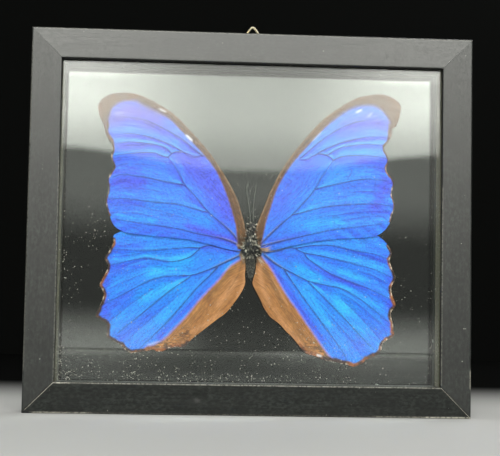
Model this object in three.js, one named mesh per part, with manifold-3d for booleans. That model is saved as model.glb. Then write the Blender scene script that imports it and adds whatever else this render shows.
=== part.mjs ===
// A set blue butterfly between two panes of glass in a small black wooden frame.
// Millimetres, +Z up. The frame stands on its bottom edge and faces -Y.
// The origin is the middle of the whole part's box, on the surface that it stands on.
import * as THREE from "three";
import { mergeVertices } from "three/addons/utils/BufferGeometryUtils.js";
import Module from "manifold-3d";

const wasm = await Module();
wasm.setup();

// The frame. Depths are counted from its front face, towards the back.
const frameWidth = 210;
const frameHeight = 181;
const frameDepth = 20;
const railFace = 14.4; // a rail as seen from the front
const railWall = 9; // a rail behind the lip
const lipDepth = 3;
const outerEasing = 0.7; // rounding of the rails' outer edges
const lipEasing = 0.4;
const paneThickness = 2;
const paneClearance = 0.4; // round the panes' edges
const paneBevel = 0.2;
const stopDepth = 3;
const seatGap = 0.1; // between pieces that lie on each other
const mitreGap = 0.1;

const frontPaneDepth = lipDepth + seatGap;
const stopStart = frameDepth - stopDepth;
const rearPaneDepth = stopStart - seatGap - paneThickness;
const spacerStart = frontPaneDepth + paneThickness + seatGap;
const spacerEnd = rearPaneDepth - seatGap;

// The pins that hold the back stops, driven sideways into the rails.
const pinRadius = 0.4;
const pinHeadRadius = 0.8;
const pinHeadHeight = 0.4;
const pinLength = 8;
const pinPointLength = 1;
const pinShares = [0.2, 0.8]; // places along a side
const holeGap = 0.3; // round a pin or screw
const cutOverrun = 1; // of a cutter past the face that it enters

// The hanger: a triangular ring of wire, held by a folded strap and one screw.
const wireRadius = 0.5;
const ringHalfBase = 6.5;
const ringApexAboveFrame = 9.5;
const ringBarBelowTop = 0.8;
const ringCorner = 2.6;
const ringJoint = 0.4; // between the two ends of the wire
const strapThickness = 0.5;
const strapWidth = 8;
const strapLength = 11.5;
const strapCorner = 2.4;
const strapLoopGap = 0.35;
const screwBelowTop = 7;
const screwHeadRadius = 1.9;
const screwHeadHeight = 1.1;
const screwRadius = 0.8;
const screwLength = 8;
const screwPointLength = 2;

const strapLoopRadius = wireRadius + strapLoopGap + strapThickness;
const hangerStandoff = 2 * strapLoopRadius;
const frontY = -(frameDepth + hangerStandoff) / 2;
const ringBarZ = frameHeight - ringBarBelowTop;

// The specimen. Its pieces are drawn in x and z, seen from the front.
const wingThickness = 0.3;
const forewingDepth = 8.8;
const hindwingDepth = 9.5;
const bodyDepth = 9.4;
const bodyX = 0.3;
const bodyFlattening = 0.85; // depth against width
const antennaRadius = 0.2;
const antennaDepth = 9.2;
const glueZ = 80;
const glueStart = 13.3;

const blackWood = { color: 0x1d1e1d, roughness: 0.45, metalness: 0 };
const spacerWood = { color: 0x6b6650, roughness: 0.8, metalness: 0 };
const clearGlass = { color: 0xdfe8e4, roughness: 0.05, metalness: 0, transparent: true, opacity: 0.25 };
const brass = { color: 0xd8bd72, roughness: 0.3, metalness: 1 };
const steel = { color: 0x8d8f90, roughness: 0.4, metalness: 1 };
const wingBlue = { color: 0x3a74f0, roughness: 0.4, metalness: 0.3 };
const bodyHair = { color: 0x4a4236, roughness: 0.9, metalness: 0 };
const antennaGrey = { color: 0x77786f, roughness: 0.7, metalness: 0 };
const clearGlue = { color: 0xd9d4bd, roughness: 0.2, metalness: 0 };

// Each wing's outline in smooth stretches, which meet in corners.
const forewingLeft = {
  root: [[-4.5, 77.6], [-4.4, 80.5], [-4.2, 83], [-3.2, 84.8], [-2.4, 86.8]],
  costa: [
    [-3.3, 91.7], [-4.7, 96.3], [-6.3, 101.7], [-10, 109], [-15, 117], [-21.5, 126], [-28, 133],
    [-35, 140.3], [-40, 144.2], [-45, 147.2], [-50, 149.8], [-55, 151.7], [-60, 152.4], [-65, 152.1],
    [-68.3, 151.3], [-70.9, 150], [-73, 147.7], [-74.2, 145.3],
  ],
  margin: [
    [-73.5, 142.7], [-73.2, 141], [-72, 138.7], [-70.8, 136], [-70.4, 133.3], [-69, 130.5], [-67.2, 129],
    [-66.7, 126.7], [-66.3, 124.7], [-67, 122.3], [-66.8, 120], [-65.5, 117], [-66.3, 114.7],
    [-68.2, 111.3], [-68.3, 109], [-67.8, 106.7], [-68.2, 104], [-69.1, 99.7], [-68.3, 96.7],
    [-67.2, 93.3], [-65.8, 89.7], [-64, 87.5], [-61.7, 86.2],
  ],
  rear: [[-58.3, 85], [-50, 84.2], [-40, 83.4], [-30, 82.6], [-20, 80.5], [-13.3, 78.8], [-9.3, 78]],
};

const forewingRight = {
  root: [[5.1, 77.6], [5, 80.5], [4.8, 83], [3.8, 84.8], [2.5, 86.8]],
  costa: [
    [2.9, 90], [4.8, 95], [6.7, 100], [8.5, 105], [10.8, 110], [13.3, 115], [16.2, 120], [19.7, 125],
    [26, 133], [30.5, 138.2], [35, 142.8], [40, 146.6], [45, 150], [50, 152.7], [55, 154.2], [60, 154.9],
    [63.5, 154.8], [67.5, 153.7], [70, 152], [71.5, 150.3], [72, 148.5],
  ],
  margin: [
    [71.5, 146], [71.2, 144], [70.8, 142.3], [70, 140.7], [69, 139.4], [67.8, 138.4], [67.6, 136.5],
    [67, 134], [66, 132], [65, 130.8], [64.2, 129.6], [64, 128.3], [64.8, 126.7], [65.5, 125], [66, 123],
    [65.7, 121.3], [65, 119.8], [65.1, 118], [65.8, 116.5], [67.1, 114.9], [68.3, 113.4], [68.8, 111.8],
    [68.6, 110.3], [68, 108.8], [67.8, 106.5], [68.3, 104.5], [69, 102], [69, 99.5], [68.5, 98],
    [67.8, 96], [67.3, 94], [66.9, 92.3], [66, 91], [65, 89.4], [63.5, 88], [62, 87],
  ],
  rear: [[60, 86.1], [55, 85.3], [50, 85], [45, 84.6], [40, 84.1], [30, 82.7], [20, 80.7], [13.5, 79], [9.5, 78]],
};

const hindwingLeft = {
  root: [[-4.6, 77.2], [-3.9, 75.2], [-2.7, 73.4], [-2.3, 71.5]],
  inner: [
    [-2.1, 69], [-2.4, 66.5], [-2.1, 62.7], [-3, 59.7], [-5, 56], [-8, 51.7], [-10, 49.2], [-12, 47.1],
    [-15, 45], [-20, 41], [-25, 37], [-27, 35.3], [-29.7, 32.3],
  ],
  margin: [
    [-31, 31.5], [-35, 31.5], [-38, 30.7], [-41, 29.3], [-43.7, 29.3], [-45, 30.2], [-50, 29],
    [-54.3, 28.5], [-56.3, 28.3], [-58.7, 30], [-60, 31.7], [-63.3, 33.5], [-66.3, 35], [-67.3, 36.3],
    [-67, 39.3], [-67.3, 42], [-69.3, 43.3], [-71.7, 44.7], [-72.5, 45.8], [-71.3, 48.7], [-70, 51.7],
    [-69.3, 54.3], [-69, 56.3], [-70, 58.3], [-71.1, 60.2], [-70, 62.7], [-68.5, 65.7], [-67.2, 69],
    [-68.2, 71], [-69, 73.2], [-67.8, 75], [-66.2, 78], [-65, 80.3], [-65.2, 82.3], [-65, 84], [-61.8, 85.8],
  ],
  underForewing: [[-57, 87.3], [-48, 87.6], [-38, 86.6], [-28, 84.8], [-18, 82], [-10, 79]],
};

const hindwingRight = {
  root: [[5.2, 77], [4.5, 75.2], [3.4, 73.6], [2.9, 71.5]],
  inner: [
    [2.8, 69], [2.3, 66.5], [1.6, 64.2], [1.4, 62], [2.6, 59.5], [4.5, 56], [5.5, 54], [7, 50.8],
    [8.5, 48.5], [10, 46.5], [12.5, 44.7], [15, 42.8], [17.5, 40], [20, 37.7], [22.5, 35], [25, 32],
    [27, 29.8], [28.5, 29],
  ],
  margin: [
    [32, 28.2], [35, 26.9], [38, 26], [41, 25.8], [44, 25], [46.5, 24.6], [49, 23.8], [51, 23.5],
    [54.5, 25], [57, 27.3], [60, 28.2], [62.5, 29.6], [63.7, 32], [64, 34], [65, 35.5], [67, 36.8],
    [69.6, 38.2], [69.5, 40.2], [69.2, 42.5], [68.8, 45], [68.2, 47], [68, 49.2], [68.7, 50.7],
    [69.7, 52], [70.2, 53.3], [69.5, 55.5], [68.7, 57.5], [68.2, 59.5], [68.2, 61.8], [69, 63.7],
    [69.8, 65.2], [70, 66.8], [69.3, 69], [68.3, 71], [67.6, 73], [67, 74.8], [67.8, 76.5], [68.2, 78],
    [67.8, 79.5], [66.5, 81.5], [65.5, 83], [64, 84.5], [62, 86],
  ],
  underForewing: [[57, 87.6], [48, 87.8], [38, 86.8], [28, 85], [18, 82], [10, 79]],
};

// The body from the abdomen's tip to the head: [half width, height].
const bodyProfile = [
  [0, 64], [0.7, 64.8], [1.2, 66], [1.7, 68], [2.1, 71], [2.2, 73.5], [2.8, 75], [3.7, 77], [4.2, 79.5],
  [4, 82], [3.1, 84], [2, 85.3], [1.6, 86.2], [1.9, 87.2], [2.2, 88.5], [1.9, 90], [1.1, 91], [0, 91.5],
];

const antennaLeft = [[-0.2, 91.9], [-0.5, 95.7], [-1, 100.3], [-1.7, 104.3], [-2.2, 108.3], [-1.3, 109.7]];
const antennaRight = [[1.2, 91.9], [1.1, 96], [1.2, 100], [1.7, 105], [2.2, 109.3]];

function piece(name, geometry, look) {
  const mesh = new THREE.Mesh(geometry, new THREE.MeshStandardMaterial(look));
  mesh.name = name;
  return mesh;
}

function solidFrom(geometry) {
  const bare = geometry.clone();
  bare.deleteAttribute("normal");
  bare.deleteAttribute("uv");
  const merged = mergeVertices(bare, 1e-4);
  return new wasm.Manifold(
    new wasm.Mesh({
      numProp: 3,
      vertProperties: merged.attributes.position.array,
      triVerts: new Uint32Array(merged.index.array),
    }),
  );
}

function geometryFrom(solid) {
  const made = solid.getMesh();
  const geometry = new THREE.BufferGeometry();
  geometry.setAttribute("position", new THREE.BufferAttribute(made.vertProperties, 3));
  geometry.setIndex(new THREE.BufferAttribute(made.triVerts, 1));
  return geometry;
}

function withHoles(geometry, cutters) {
  let solid = solidFrom(geometry);
  for (const cutter of cutters) {
    solid = solid.subtract(solidFrom(cutter));
  }
  return geometryFrom(solid);
}

// Turned pieces: a profile of [radius, height] pairs round y, starting and ending on the axis.
function turned(profile, segments) {
  const points = profile.map(([radius, height]) => new THREE.Vector2(radius, height));
  return new THREE.LatheGeometry(points, segments);
}

// A strip that runs along one side of the frame, with mitred ends.
// Its section is drawn in x, inwards from the frame's outer edge, and y, the depth.
function mitredStrip(section, sideLength) {
  const strip = new THREE.ExtrudeGeometry(section, {
    depth: sideLength,
    bevelEnabled: false,
    curveSegments: 2,
  });
  const position = strip.getAttribute("position");
  for (let i = 0; i < position.count; i++) {
    const inset = position.getX(i) + mitreGap / 2;
    const atStart = position.getZ(i) < sideLength / 2;
    position.setZ(i, atStart ? inset : sideLength - inset);
  }
  return strip;
}

function railSection() {
  const quarter = Math.PI / 2;
  const section = new THREE.Shape();
  section.moveTo(outerEasing, 0);
  section.absarc(railFace - lipEasing, lipEasing, lipEasing, -quarter, 0, false);
  section.lineTo(railFace, lipDepth);
  section.lineTo(railWall, lipDepth);
  section.lineTo(railWall, frameDepth);
  section.absarc(outerEasing, frameDepth - outerEasing, outerEasing, quarter, 2 * quarter, false);
  section.absarc(outerEasing, outerEasing, outerEasing, 2 * quarter, 3 * quarter, false);
  return section;
}

function stripSection(startDepth, endDepth) {
  const section = new THREE.Shape();
  section.moveTo(railWall + seatGap, startDepth);
  section.lineTo(railFace, startDepth);
  section.lineTo(railFace, endDepth);
  section.lineTo(railWall + seatGap, endDepth);
  return section;
}

// The hole for a pin, from the opening outwards, at one place along a side.
function pinCutter(along) {
  const radius = pinRadius + holeGap;
  const cutter = new THREE.CylinderGeometry(radius, radius, pinLength + 2 * cutOverrun, 12);
  cutter.rotateZ(Math.PI / 2);
  cutter.translate(railFace - pinLength / 2, stopStart + stopDepth / 2, along);
  return cutter;
}

// A pin with its head on the stop's inner face and its point towards the frame's outer edge.
function stopPin(along) {
  const pin = turned(
    [
      [0, -pinHeadHeight],
      [pinHeadRadius, -pinHeadHeight],
      [pinHeadRadius, 0],
      [pinRadius, 0],
      [pinRadius, pinLength - pinPointLength],
      [0, pinLength],
    ],
    12,
  );
  pin.rotateZ(Math.PI / 2);
  pin.translate(railFace + seatGap, stopStart + stopDepth / 2, along);
  return pin;
}

// The hole for the hanger's screw, in the top rail before it is turned into place.
function screwCutter(sideLength) {
  const radius = screwRadius + holeGap;
  const cutter = new THREE.CylinderGeometry(radius, radius, screwLength, 16);
  cutter.translate(screwBelowTop, frameDepth + cutOverrun - screwLength / 2, sideLength / 2);
  return cutter;
}

// One side of the frame: its rail, spacer, stop and pins, laid out as the bottom side and then turned.
function frameSide(name, sideLength, reach, turn) {
  const places = pinShares.map((share) => share * sideLength);
  const pinHoles = places.map(pinCutter);
  const railHoles = name === "top" ? [...pinHoles, screwCutter(sideLength)] : pinHoles;
  const rail = withHoles(mitredStrip(railSection(), sideLength), railHoles);
  const spacer = mitredStrip(stripSection(spacerStart, spacerEnd), sideLength);
  const stop = withHoles(mitredStrip(stripSection(stopStart, frameDepth), sideLength), pinHoles);

  const strips = new THREE.Group();
  strips.add(piece("rail_" + name, rail, blackWood));
  strips.add(piece("spacer_" + name, spacer, spacerWood));
  strips.add(piece("stop_" + name, stop, blackWood));
  places.forEach((along, i) => {
    strips.add(piece("stop_pin_" + name + "_" + (i + 1), stopPin(along), steel));
  });
  strips.rotation.y = -Math.PI / 2;
  strips.position.set(sideLength / 2, 0, -reach);

  const side = new THREE.Group();
  side.add(strips);
  side.rotation.y = turn;
  side.position.set(0, frontY, frameHeight / 2);
  return side;
}

function pane(name, depth) {
  const halfWidth = frameWidth / 2 - railWall - paneClearance - paneBevel;
  const halfHeight = frameHeight / 2 - railWall - paneClearance - paneBevel;
  const sheet = new THREE.Shape();
  sheet.moveTo(-halfWidth, -halfHeight);
  sheet.lineTo(halfWidth, -halfHeight);
  sheet.lineTo(halfWidth, halfHeight);
  sheet.lineTo(-halfWidth, halfHeight);
  const glass = new THREE.ExtrudeGeometry(sheet, {
    depth: paneThickness - 2 * paneBevel,
    bevelEnabled: true,
    bevelThickness: paneBevel,
    bevelSize: paneBevel,
    bevelSegments: 1,
  });
  glass.rotateX(Math.PI / 2);
  const mesh = piece(name, glass, clearGlass);
  mesh.position.set(0, frontY + depth + paneThickness - paneBevel, frameHeight / 2);
  return mesh;
}

function screw() {
  const headStart = 2 * strapThickness + seatGap;
  const shape = turned(
    [
      [0, headStart - screwLength],
      [screwRadius, headStart - screwLength + screwPointLength],
      [screwRadius, headStart],
      [screwHeadRadius, headStart],
      [screwHeadRadius * 0.9, headStart + screwHeadHeight * 0.6],
      [screwHeadRadius * 0.5, headStart + screwHeadHeight * 0.95],
      [0, headStart + screwHeadHeight],
    ],
    20,
  );
  const mesh = piece("hanger_screw", shape, brass);
  mesh.position.set(0, frontY + frameDepth, frameHeight - screwBelowTop);
  return mesh;
}

// The strap's side, seen along x: a loop round the wire, and a doubled tongue on the frame's back.
function strapSide() {
  const tongue = 2 * strapThickness;
  const side = new THREE.Shape();
  side.moveTo(0, -strapLength - cutOverrun);
  side.lineTo(tongue, -strapLength - cutOverrun);
  side.lineTo(tongue, -2 * strapLoopRadius);
  side.quadraticCurveTo(2 * strapLoopRadius, -1.2 * strapLoopRadius, 2 * strapLoopRadius, 0);
  side.absarc(strapLoopRadius, 0, strapLoopRadius, 0, Math.PI, false);
  const bore = new THREE.Path();
  bore.absarc(strapLoopRadius, 0, wireRadius + strapLoopGap, 0, 2 * Math.PI, true);
  side.holes.push(bore);
  return side;
}

// The strap's outline from behind, with rounded lower corners.
function strapOutline() {
  const halfWidth = strapWidth / 2;
  const top = 2 * strapLoopRadius;
  const outline = new THREE.Shape();
  outline.moveTo(-halfWidth, top);
  outline.absarc(-halfWidth + strapCorner, -strapLength + strapCorner, strapCorner, Math.PI, Math.PI * 1.5, false);
  outline.absarc(halfWidth - strapCorner, -strapLength + strapCorner, strapCorner, -Math.PI / 2, 0, false);
  outline.lineTo(halfWidth, top);
  return outline;
}

function strap() {
  const wide = strapWidth + 2 * cutOverrun;
  const folded = new THREE.ExtrudeGeometry(strapSide(), { depth: wide, bevelEnabled: false, curveSegments: 6 });
  folded.translate(0, 0, -wide / 2);
  const alongX = new THREE.Vector3(1, 0, 0);
  const alongY = new THREE.Vector3(0, 1, 0);
  const alongZ = new THREE.Vector3(0, 0, 1);
  folded.applyMatrix4(new THREE.Matrix4().makeBasis(alongY, alongZ, alongX));

  const thick = hangerStandoff + 2 * cutOverrun;
  const blank = new THREE.ExtrudeGeometry(strapOutline(), { depth: thick, bevelEnabled: false, curveSegments: 5 });
  blank.rotateX(Math.PI / 2);
  blank.translate(0, hangerStandoff + cutOverrun, 0);

  const hole = new THREE.CylinderGeometry(screwRadius + holeGap, screwRadius + holeGap, thick, 16);
  hole.translate(0, 0, ringBarBelowTop - screwBelowTop);

  const shape = solidFrom(folded).intersect(solidFrom(blank)).subtract(solidFrom(hole));
  const mesh = piece("hanger_strap", geometryFrom(shape), brass);
  mesh.position.set(0, frontY + frameDepth, ringBarZ);
  return mesh;
}

// A path of straight runs whose corners are rounded, starting `corner` before each one.
function roundedPath(points, corner) {
  const path = new THREE.CurvePath();
  let from = points[0];
  for (let i = 1; i < points.length - 1; i++) {
    const before = points[i].clone().sub(from).normalize().multiplyScalar(corner);
    const after = points[i + 1].clone().sub(points[i]).normalize().multiplyScalar(corner);
    const bendStart = points[i].clone().sub(before);
    const bendEnd = points[i].clone().add(after);
    path.add(new THREE.LineCurve3(from, bendStart));
    path.add(new THREE.QuadraticBezierCurve3(bendStart, points[i], bendEnd));
    from = bendEnd;
  }
  path.add(new THREE.LineCurve3(from, points[points.length - 1]));
  return path;
}

function wire(path, radius, steps, sides) {
  const section = new THREE.Shape();
  section.absarc(0, 0, radius, 0, 2 * Math.PI, false);
  return new THREE.ExtrudeGeometry(section, { steps, extrudePath: path, curveSegments: sides / 2 });
}

function ring() {
  const apex = ringApexAboveFrame + ringBarBelowTop;
  const points = [
    new THREE.Vector3(-ringJoint / 2, 0, 0),
    new THREE.Vector3(-ringHalfBase, 0, 0),
    new THREE.Vector3(0, 0, apex),
    new THREE.Vector3(ringHalfBase, 0, 0),
    new THREE.Vector3(ringJoint / 2, 0, 0),
  ];
  const mesh = piece("hanger_ring", wire(roundedPath(points, ringCorner), wireRadius, 90, 8), brass);
  mesh.position.set(0, frontY + frameDepth + strapLoopRadius, ringBarZ);
  return mesh;
}

function wing(name, stretches, depth) {
  const lists = Object.values(stretches).map((stretch) => stretch.map(([x, z]) => new THREE.Vector2(x, z)));
  const start = lists[0][0];
  const outline = new THREE.Shape();
  outline.moveTo(start.x, start.y);
  lists[0].shift();
  lists[lists.length - 1].push(start);
  for (const points of lists) {
    outline.splineThru(points);
  }
  const plate = new THREE.ExtrudeGeometry(outline, { depth: wingThickness, bevelEnabled: false, curveSegments: 2 });
  plate.rotateX(Math.PI / 2);
  const mesh = piece(name, plate, wingBlue);
  mesh.position.y = frontY + depth + wingThickness;
  return mesh;
}

function body() {
  const shape = turned(bodyProfile, 24);
  shape.rotateX(Math.PI / 2);
  shape.scale(1, bodyFlattening, 1);
  const mesh = piece("butterfly_body", shape, bodyHair);
  mesh.position.set(bodyX, frontY + bodyDepth, 0);
  return mesh;
}

function antenna(name, places) {
  const path = new THREE.CatmullRomCurve3(places.map(([x, z]) => new THREE.Vector3(x, 0, z)));
  const mesh = piece(name, wire(path, antennaRadius, 24, 6), antennaGrey);
  mesh.position.y = frontY + antennaDepth;
  return mesh;
}

// The blob of glue that holds the thorax to the rear pane.
function glueDab() {
  const height = rearPaneDepth - seatGap - glueStart;
  const shape = turned([[0, 0], [1.1, 0], [1.8, height * 0.45], [2.6, height], [0, height]], 20);
  const mesh = piece("glue_dab", shape, clearGlue);
  mesh.position.set(bodyX, frontY + glueStart, glueZ);
  return mesh;
}

const halfTurn = Math.PI;
const part = new THREE.Group();
part.add(frameSide("bottom", frameWidth, frameHeight / 2, 0));
part.add(frameSide("left", frameHeight, frameWidth / 2, halfTurn / 2));
part.add(frameSide("top", frameWidth, frameHeight / 2, halfTurn));
part.add(frameSide("right", frameHeight, frameWidth / 2, -halfTurn / 2));
part.add(pane("glass_front", frontPaneDepth));
part.add(pane("glass_rear", rearPaneDepth));
part.add(strap());
part.add(ring());
part.add(screw());
part.add(wing("forewing_left", forewingLeft, forewingDepth));
part.add(wing("forewing_right", forewingRight, forewingDepth));
part.add(wing("hindwing_left", hindwingLeft, hindwingDepth));
part.add(wing("hindwing_right", hindwingRight, hindwingDepth));
part.add(body());
part.add(antenna("antenna_left", antennaLeft));
part.add(antenna("antenna_right", antennaRight));
part.add(glueDab());

export default part;
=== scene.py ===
import math
import random

import bmesh
import bpy
import numpy as np
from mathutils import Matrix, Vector, noise
from mathutils.geometry import delaunay_2d_cdt
from mathutils.kdtree import KDTree


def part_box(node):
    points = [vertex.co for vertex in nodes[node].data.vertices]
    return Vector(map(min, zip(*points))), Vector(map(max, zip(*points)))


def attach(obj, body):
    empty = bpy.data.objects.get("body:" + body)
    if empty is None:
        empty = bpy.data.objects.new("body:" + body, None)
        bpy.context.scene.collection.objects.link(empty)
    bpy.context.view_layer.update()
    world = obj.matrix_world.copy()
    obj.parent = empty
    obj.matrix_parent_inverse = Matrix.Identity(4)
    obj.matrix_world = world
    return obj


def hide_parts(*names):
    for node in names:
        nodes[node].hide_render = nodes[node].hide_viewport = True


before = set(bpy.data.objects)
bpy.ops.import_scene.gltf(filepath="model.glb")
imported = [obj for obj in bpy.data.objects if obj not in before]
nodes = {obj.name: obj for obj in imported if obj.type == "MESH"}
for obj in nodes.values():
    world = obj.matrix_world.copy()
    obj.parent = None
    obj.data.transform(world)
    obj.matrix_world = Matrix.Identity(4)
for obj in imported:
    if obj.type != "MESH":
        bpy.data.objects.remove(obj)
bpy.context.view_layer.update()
mm = 0.001
random.seed(11)
print("frame loaded:", len(nodes), "pieces")

# Where the frame's own planes lie
railLow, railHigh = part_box("rail_bottom")
frontFace = railLow.y
railFace = railHigh.z
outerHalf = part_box("rail_right")[1].x
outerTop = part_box("rail_top")[1].z
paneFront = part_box("glass_front")[0].y
sides = ("top", "bottom", "left", "right")


# Small helpers

def selectOnly(piece):
    bpy.ops.object.select_all(action="DESELECT")
    piece.select_set(True)
    bpy.context.view_layer.objects.active = piece


def editAll(piece, *steps):
    # edit-mode steps that each act on the whole piece
    selectOnly(piece)
    bpy.ops.object.mode_set(mode="EDIT")
    for operator, settings in steps:
        bpy.ops.mesh.select_all(action="SELECT")
        operator(**settings)
    bpy.ops.object.mode_set(mode="OBJECT")


def smoothByAngle(piece, degrees):
    selectOnly(piece)
    bpy.ops.object.shade_smooth_by_angle(angle=math.radians(degrees))


def newPiece(name, verts, faces):
    mesh = bpy.data.meshes.new(name)
    mesh.from_pydata(verts, [], faces)
    mesh.update()
    piece = bpy.data.objects.new(name, mesh)
    bpy.context.scene.collection.objects.link(piece)
    return piece


def tubeFaces(base, count):
    # joins the ring of points that ends at base to the one that starts there
    corners = [(corner, (corner + 1) % count) for corner in range(count)]
    before = base - count
    return [(before + first, before + after, base + after, base + first) for first, after in corners]


def copyOfNode(node, name):
    # a copy of a CAD piece with its loose triangles merged
    piece = bpy.data.objects.new(name, nodes[node].data.copy())
    bpy.context.scene.collection.objects.link(piece)
    piece.data.materials.clear()
    editAll(piece, (bpy.ops.mesh.remove_doubles, {"threshold": 0.002 * mm}),
            (bpy.ops.mesh.dissolve_limited, {"angle_limit": math.radians(1)}))
    return piece


def finishPiece(piece, slot, *stoodFor):
    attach(piece, "root")
    if stoodFor:
        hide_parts(*stoodFor)


def setValues(piece, name, values, kind="FLOAT"):
    attribute = piece.data.attributes.new(name, kind, "POINT")
    field = "vector" if kind == "FLOAT_VECTOR" else "value"
    attribute.data.foreach_set(field, np.asarray(values, np.float32).ravel())


# Node helpers: each adds to the node tree that was begun last

bench = {}


def feed(socket, value):
    if isinstance(value, bpy.types.NodeSocket):
        bench["tree"].links.new(value, socket)
    elif socket.type == "RGBA":
        socket.default_value = (*value[:3], 1)
    else:
        socket.default_value = value


def newNode(kind, values=(), **settings):
    made = bench["tree"].nodes.new("ShaderNode" + kind)
    for name, value in settings.items():
        setattr(made, name, value)
    for socket, value in dict(values).items():
        feed(made.inputs[socket], value)
    return made


def newMaterial(name):
    material = bpy.data.materials.new(name)
    material.use_nodes = True
    bench["tree"] = material.node_tree
    return material, material.node_tree.nodes["Principled BSDF"]


def setLook(surface, colour, rough, normal=None, fixed=()):
    # fixed: what is the same all over, by the name of the shader's own socket
    feed(surface.inputs["Base Color"], colour)
    feed(surface.inputs["Roughness"], rough)
    if normal is not None:
        feed(surface.inputs["Normal"], normal)
    for name, value in dict(fixed).items():
        surface.inputs[name].default_value = value


def maths(operation, first, second=0.0, clamp=False):
    return newNode("Math", {0: first, 1: second}, operation=operation, use_clamp=clamp).outputs[0]


def times(first, second, clamp=False):
    return maths("MULTIPLY", first, second, clamp)


def plus(first, second):
    return maths("ADD", first, second)


def minus(first, second):
    return maths("SUBTRACT", first, second)


def weighted(*parts):
    # a sum of values, each with its share
    total = times(*parts[0])
    for value, share in parts[1:]:
        total = plus(total, times(value, share))
    return total


def mapRange(value, low, high, toLow=0.0, toHigh=1.0):
    given = enumerate((value, low, high, toLow, toHigh))
    return newNode("MapRange", given, interpolation_type="SMOOTHSTEP").outputs[0]


def mixColour(share, first, second, blend="MIX"):
    given = {0: share, 6: first, 7: second}
    return newNode("Mix", given, data_type="RGBA", blend_type=blend).outputs[2]


def ramp(value, *stops):
    made = newNode("ValToRGB", {0: value})
    elements = made.color_ramp.elements
    while len(elements) < len(stops):
        elements.new(0.5)
    for element, (place, colour) in zip(elements, stops):
        element.position = place
        element.color = (*colour, 1)
    return made.outputs[0]


def stretched(vector, scale, turn=(0, 0, 0)):
    return newNode("Mapping", {"Vector": vector, "Rotation": turn, "Scale": scale}).outputs[0]


def noiseOf(vector, scale, detail=2.0, rough=0.5, distortion=0.0):
    given = {"Vector": vector, "Scale": scale, "Detail": detail, "Roughness": rough, "Distortion": distortion}
    return newNode("TexNoise", given).outputs["Fac"]


def streaksOf(vector, scale, *settings):
    # noise that is drawn out along the axes with the small scales
    return noiseOf(stretched(vector, scale), 1.0, *settings)


def objectCoords():
    return newNode("TexCoord").outputs["Object"]


def attributeOf(name, output="Fac"):
    return newNode("Attribute", attribute_name=name).outputs[output]


def bump(height, strength, distance):
    return newNode("Bump", {"Strength": strength, "Distance": distance, "Height": height}).outputs[0]


def overlay(colour, *layers):
    # lays tints over a colour: each where an attribute is high, times a share
    for name, share, tint in layers:
        mask = attributeOf(name)
        colour = mixColour(mask if share == 1 else times(mask, share), colour, tint)
    return colour


def newGroup(name, inputs, outputs):
    group = bpy.data.node_groups.new(name, "ShaderNodeTree")
    bench["tree"] = group
    for side, sockets in (("INPUT", inputs), ("OUTPUT", outputs)):
        for socketName, kind in sockets:
            group.interface.new_socket(socketName, in_out=side, socket_type="NodeSocket" + kind)
    return group, group.nodes.new("NodeGroupInput").outputs, group.nodes.new("NodeGroupOutput").inputs


def placeGroup(group, **values):
    return newNode("Group", values, node_tree=group).outputs


# Camera, stage and light

cameraSet = {
    "place": (-0.0277, -0.5324, 0.0411),
    "turn": (93.33, -0.99, -3.05),  # degrees
    "lens": 80.1,
    "shift": 0.07,
}


def addCamera():
    bpy.ops.object.camera_add(location=cameraSet["place"])
    camera = bpy.context.object
    camera.name = "camera"
    camera.rotation_euler = [math.radians(angle) for angle in cameraSet["turn"]]
    camera.data.lens = cameraSet["lens"]
    camera.data.shift_y = cameraSet["shift"]
    camera.data.clip_start = 0.01
    bpy.context.scene.camera = camera


stageSet = {
    "floorColour": (0.56, 0.56, 0.545),
    "shadedColour": (0.30, 0.30, 0.29),
    "backdropColour": (0.005, 0.0053, 0.005),
    "backdropAway": 1.0,
    # painted shade: the floor's colour darkens towards the backdrop, as the light falls off
    "fade": (0.05, 0.30),  # the floor gets darker over this, towards the backdrop
    "shade": (-0.25, -0.60),  # in front, where the camera stands, its middle is shaded
    "shadeHalf": (0.17, 0.02),
    "under": (-0.95, -1.30),  # where it comes under the light panel, and how that eases the shade
    "underEase": 0.25,
    # painted light: the brighter floor colour where the light panel shines down on it
    "panelLitColour": (0.95, 0.95, 0.92),
    "worldColour": (0.11, 0.115, 0.11, 1),
}

panelSet = {
    "away": 1.5,
    "high": 1.15,
    "halfWidth": 0.75,
    "middle": 0.08,  # where its dimmer middle lies
    "sides": (0.05, 0.34),  # over which it gets brighter
    "glow": (2.8, 5.7),  # in the middle, at the sides
    "lift": (-0.0108, 0.0252),  # its lower edge lies higher at the sides
    "edge": 0.331,
    "step": (0.018, 0.48),  # the edge's height and its share of the glow
    "rise": (0.44, 0.52),  # and where the rest is reached
    "tail": (0.185, 0.29, 0.0, 0.64),  # a fainter glow below the edge
    "crown": (0.491, 0.503),  # a brighter strip above
    "crownSides": (0.08, 0.30, -0.04, 0.32),
    "foot": (0.088, 0.0, 0.0, 1.15),  # the glow just over the floor
    "footSides": (0.05, 0.22, 0.12, 1.0),
    "faint": 0.20,
    "colour": (1.0, 1.0, 0.93, 1),
}


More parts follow.
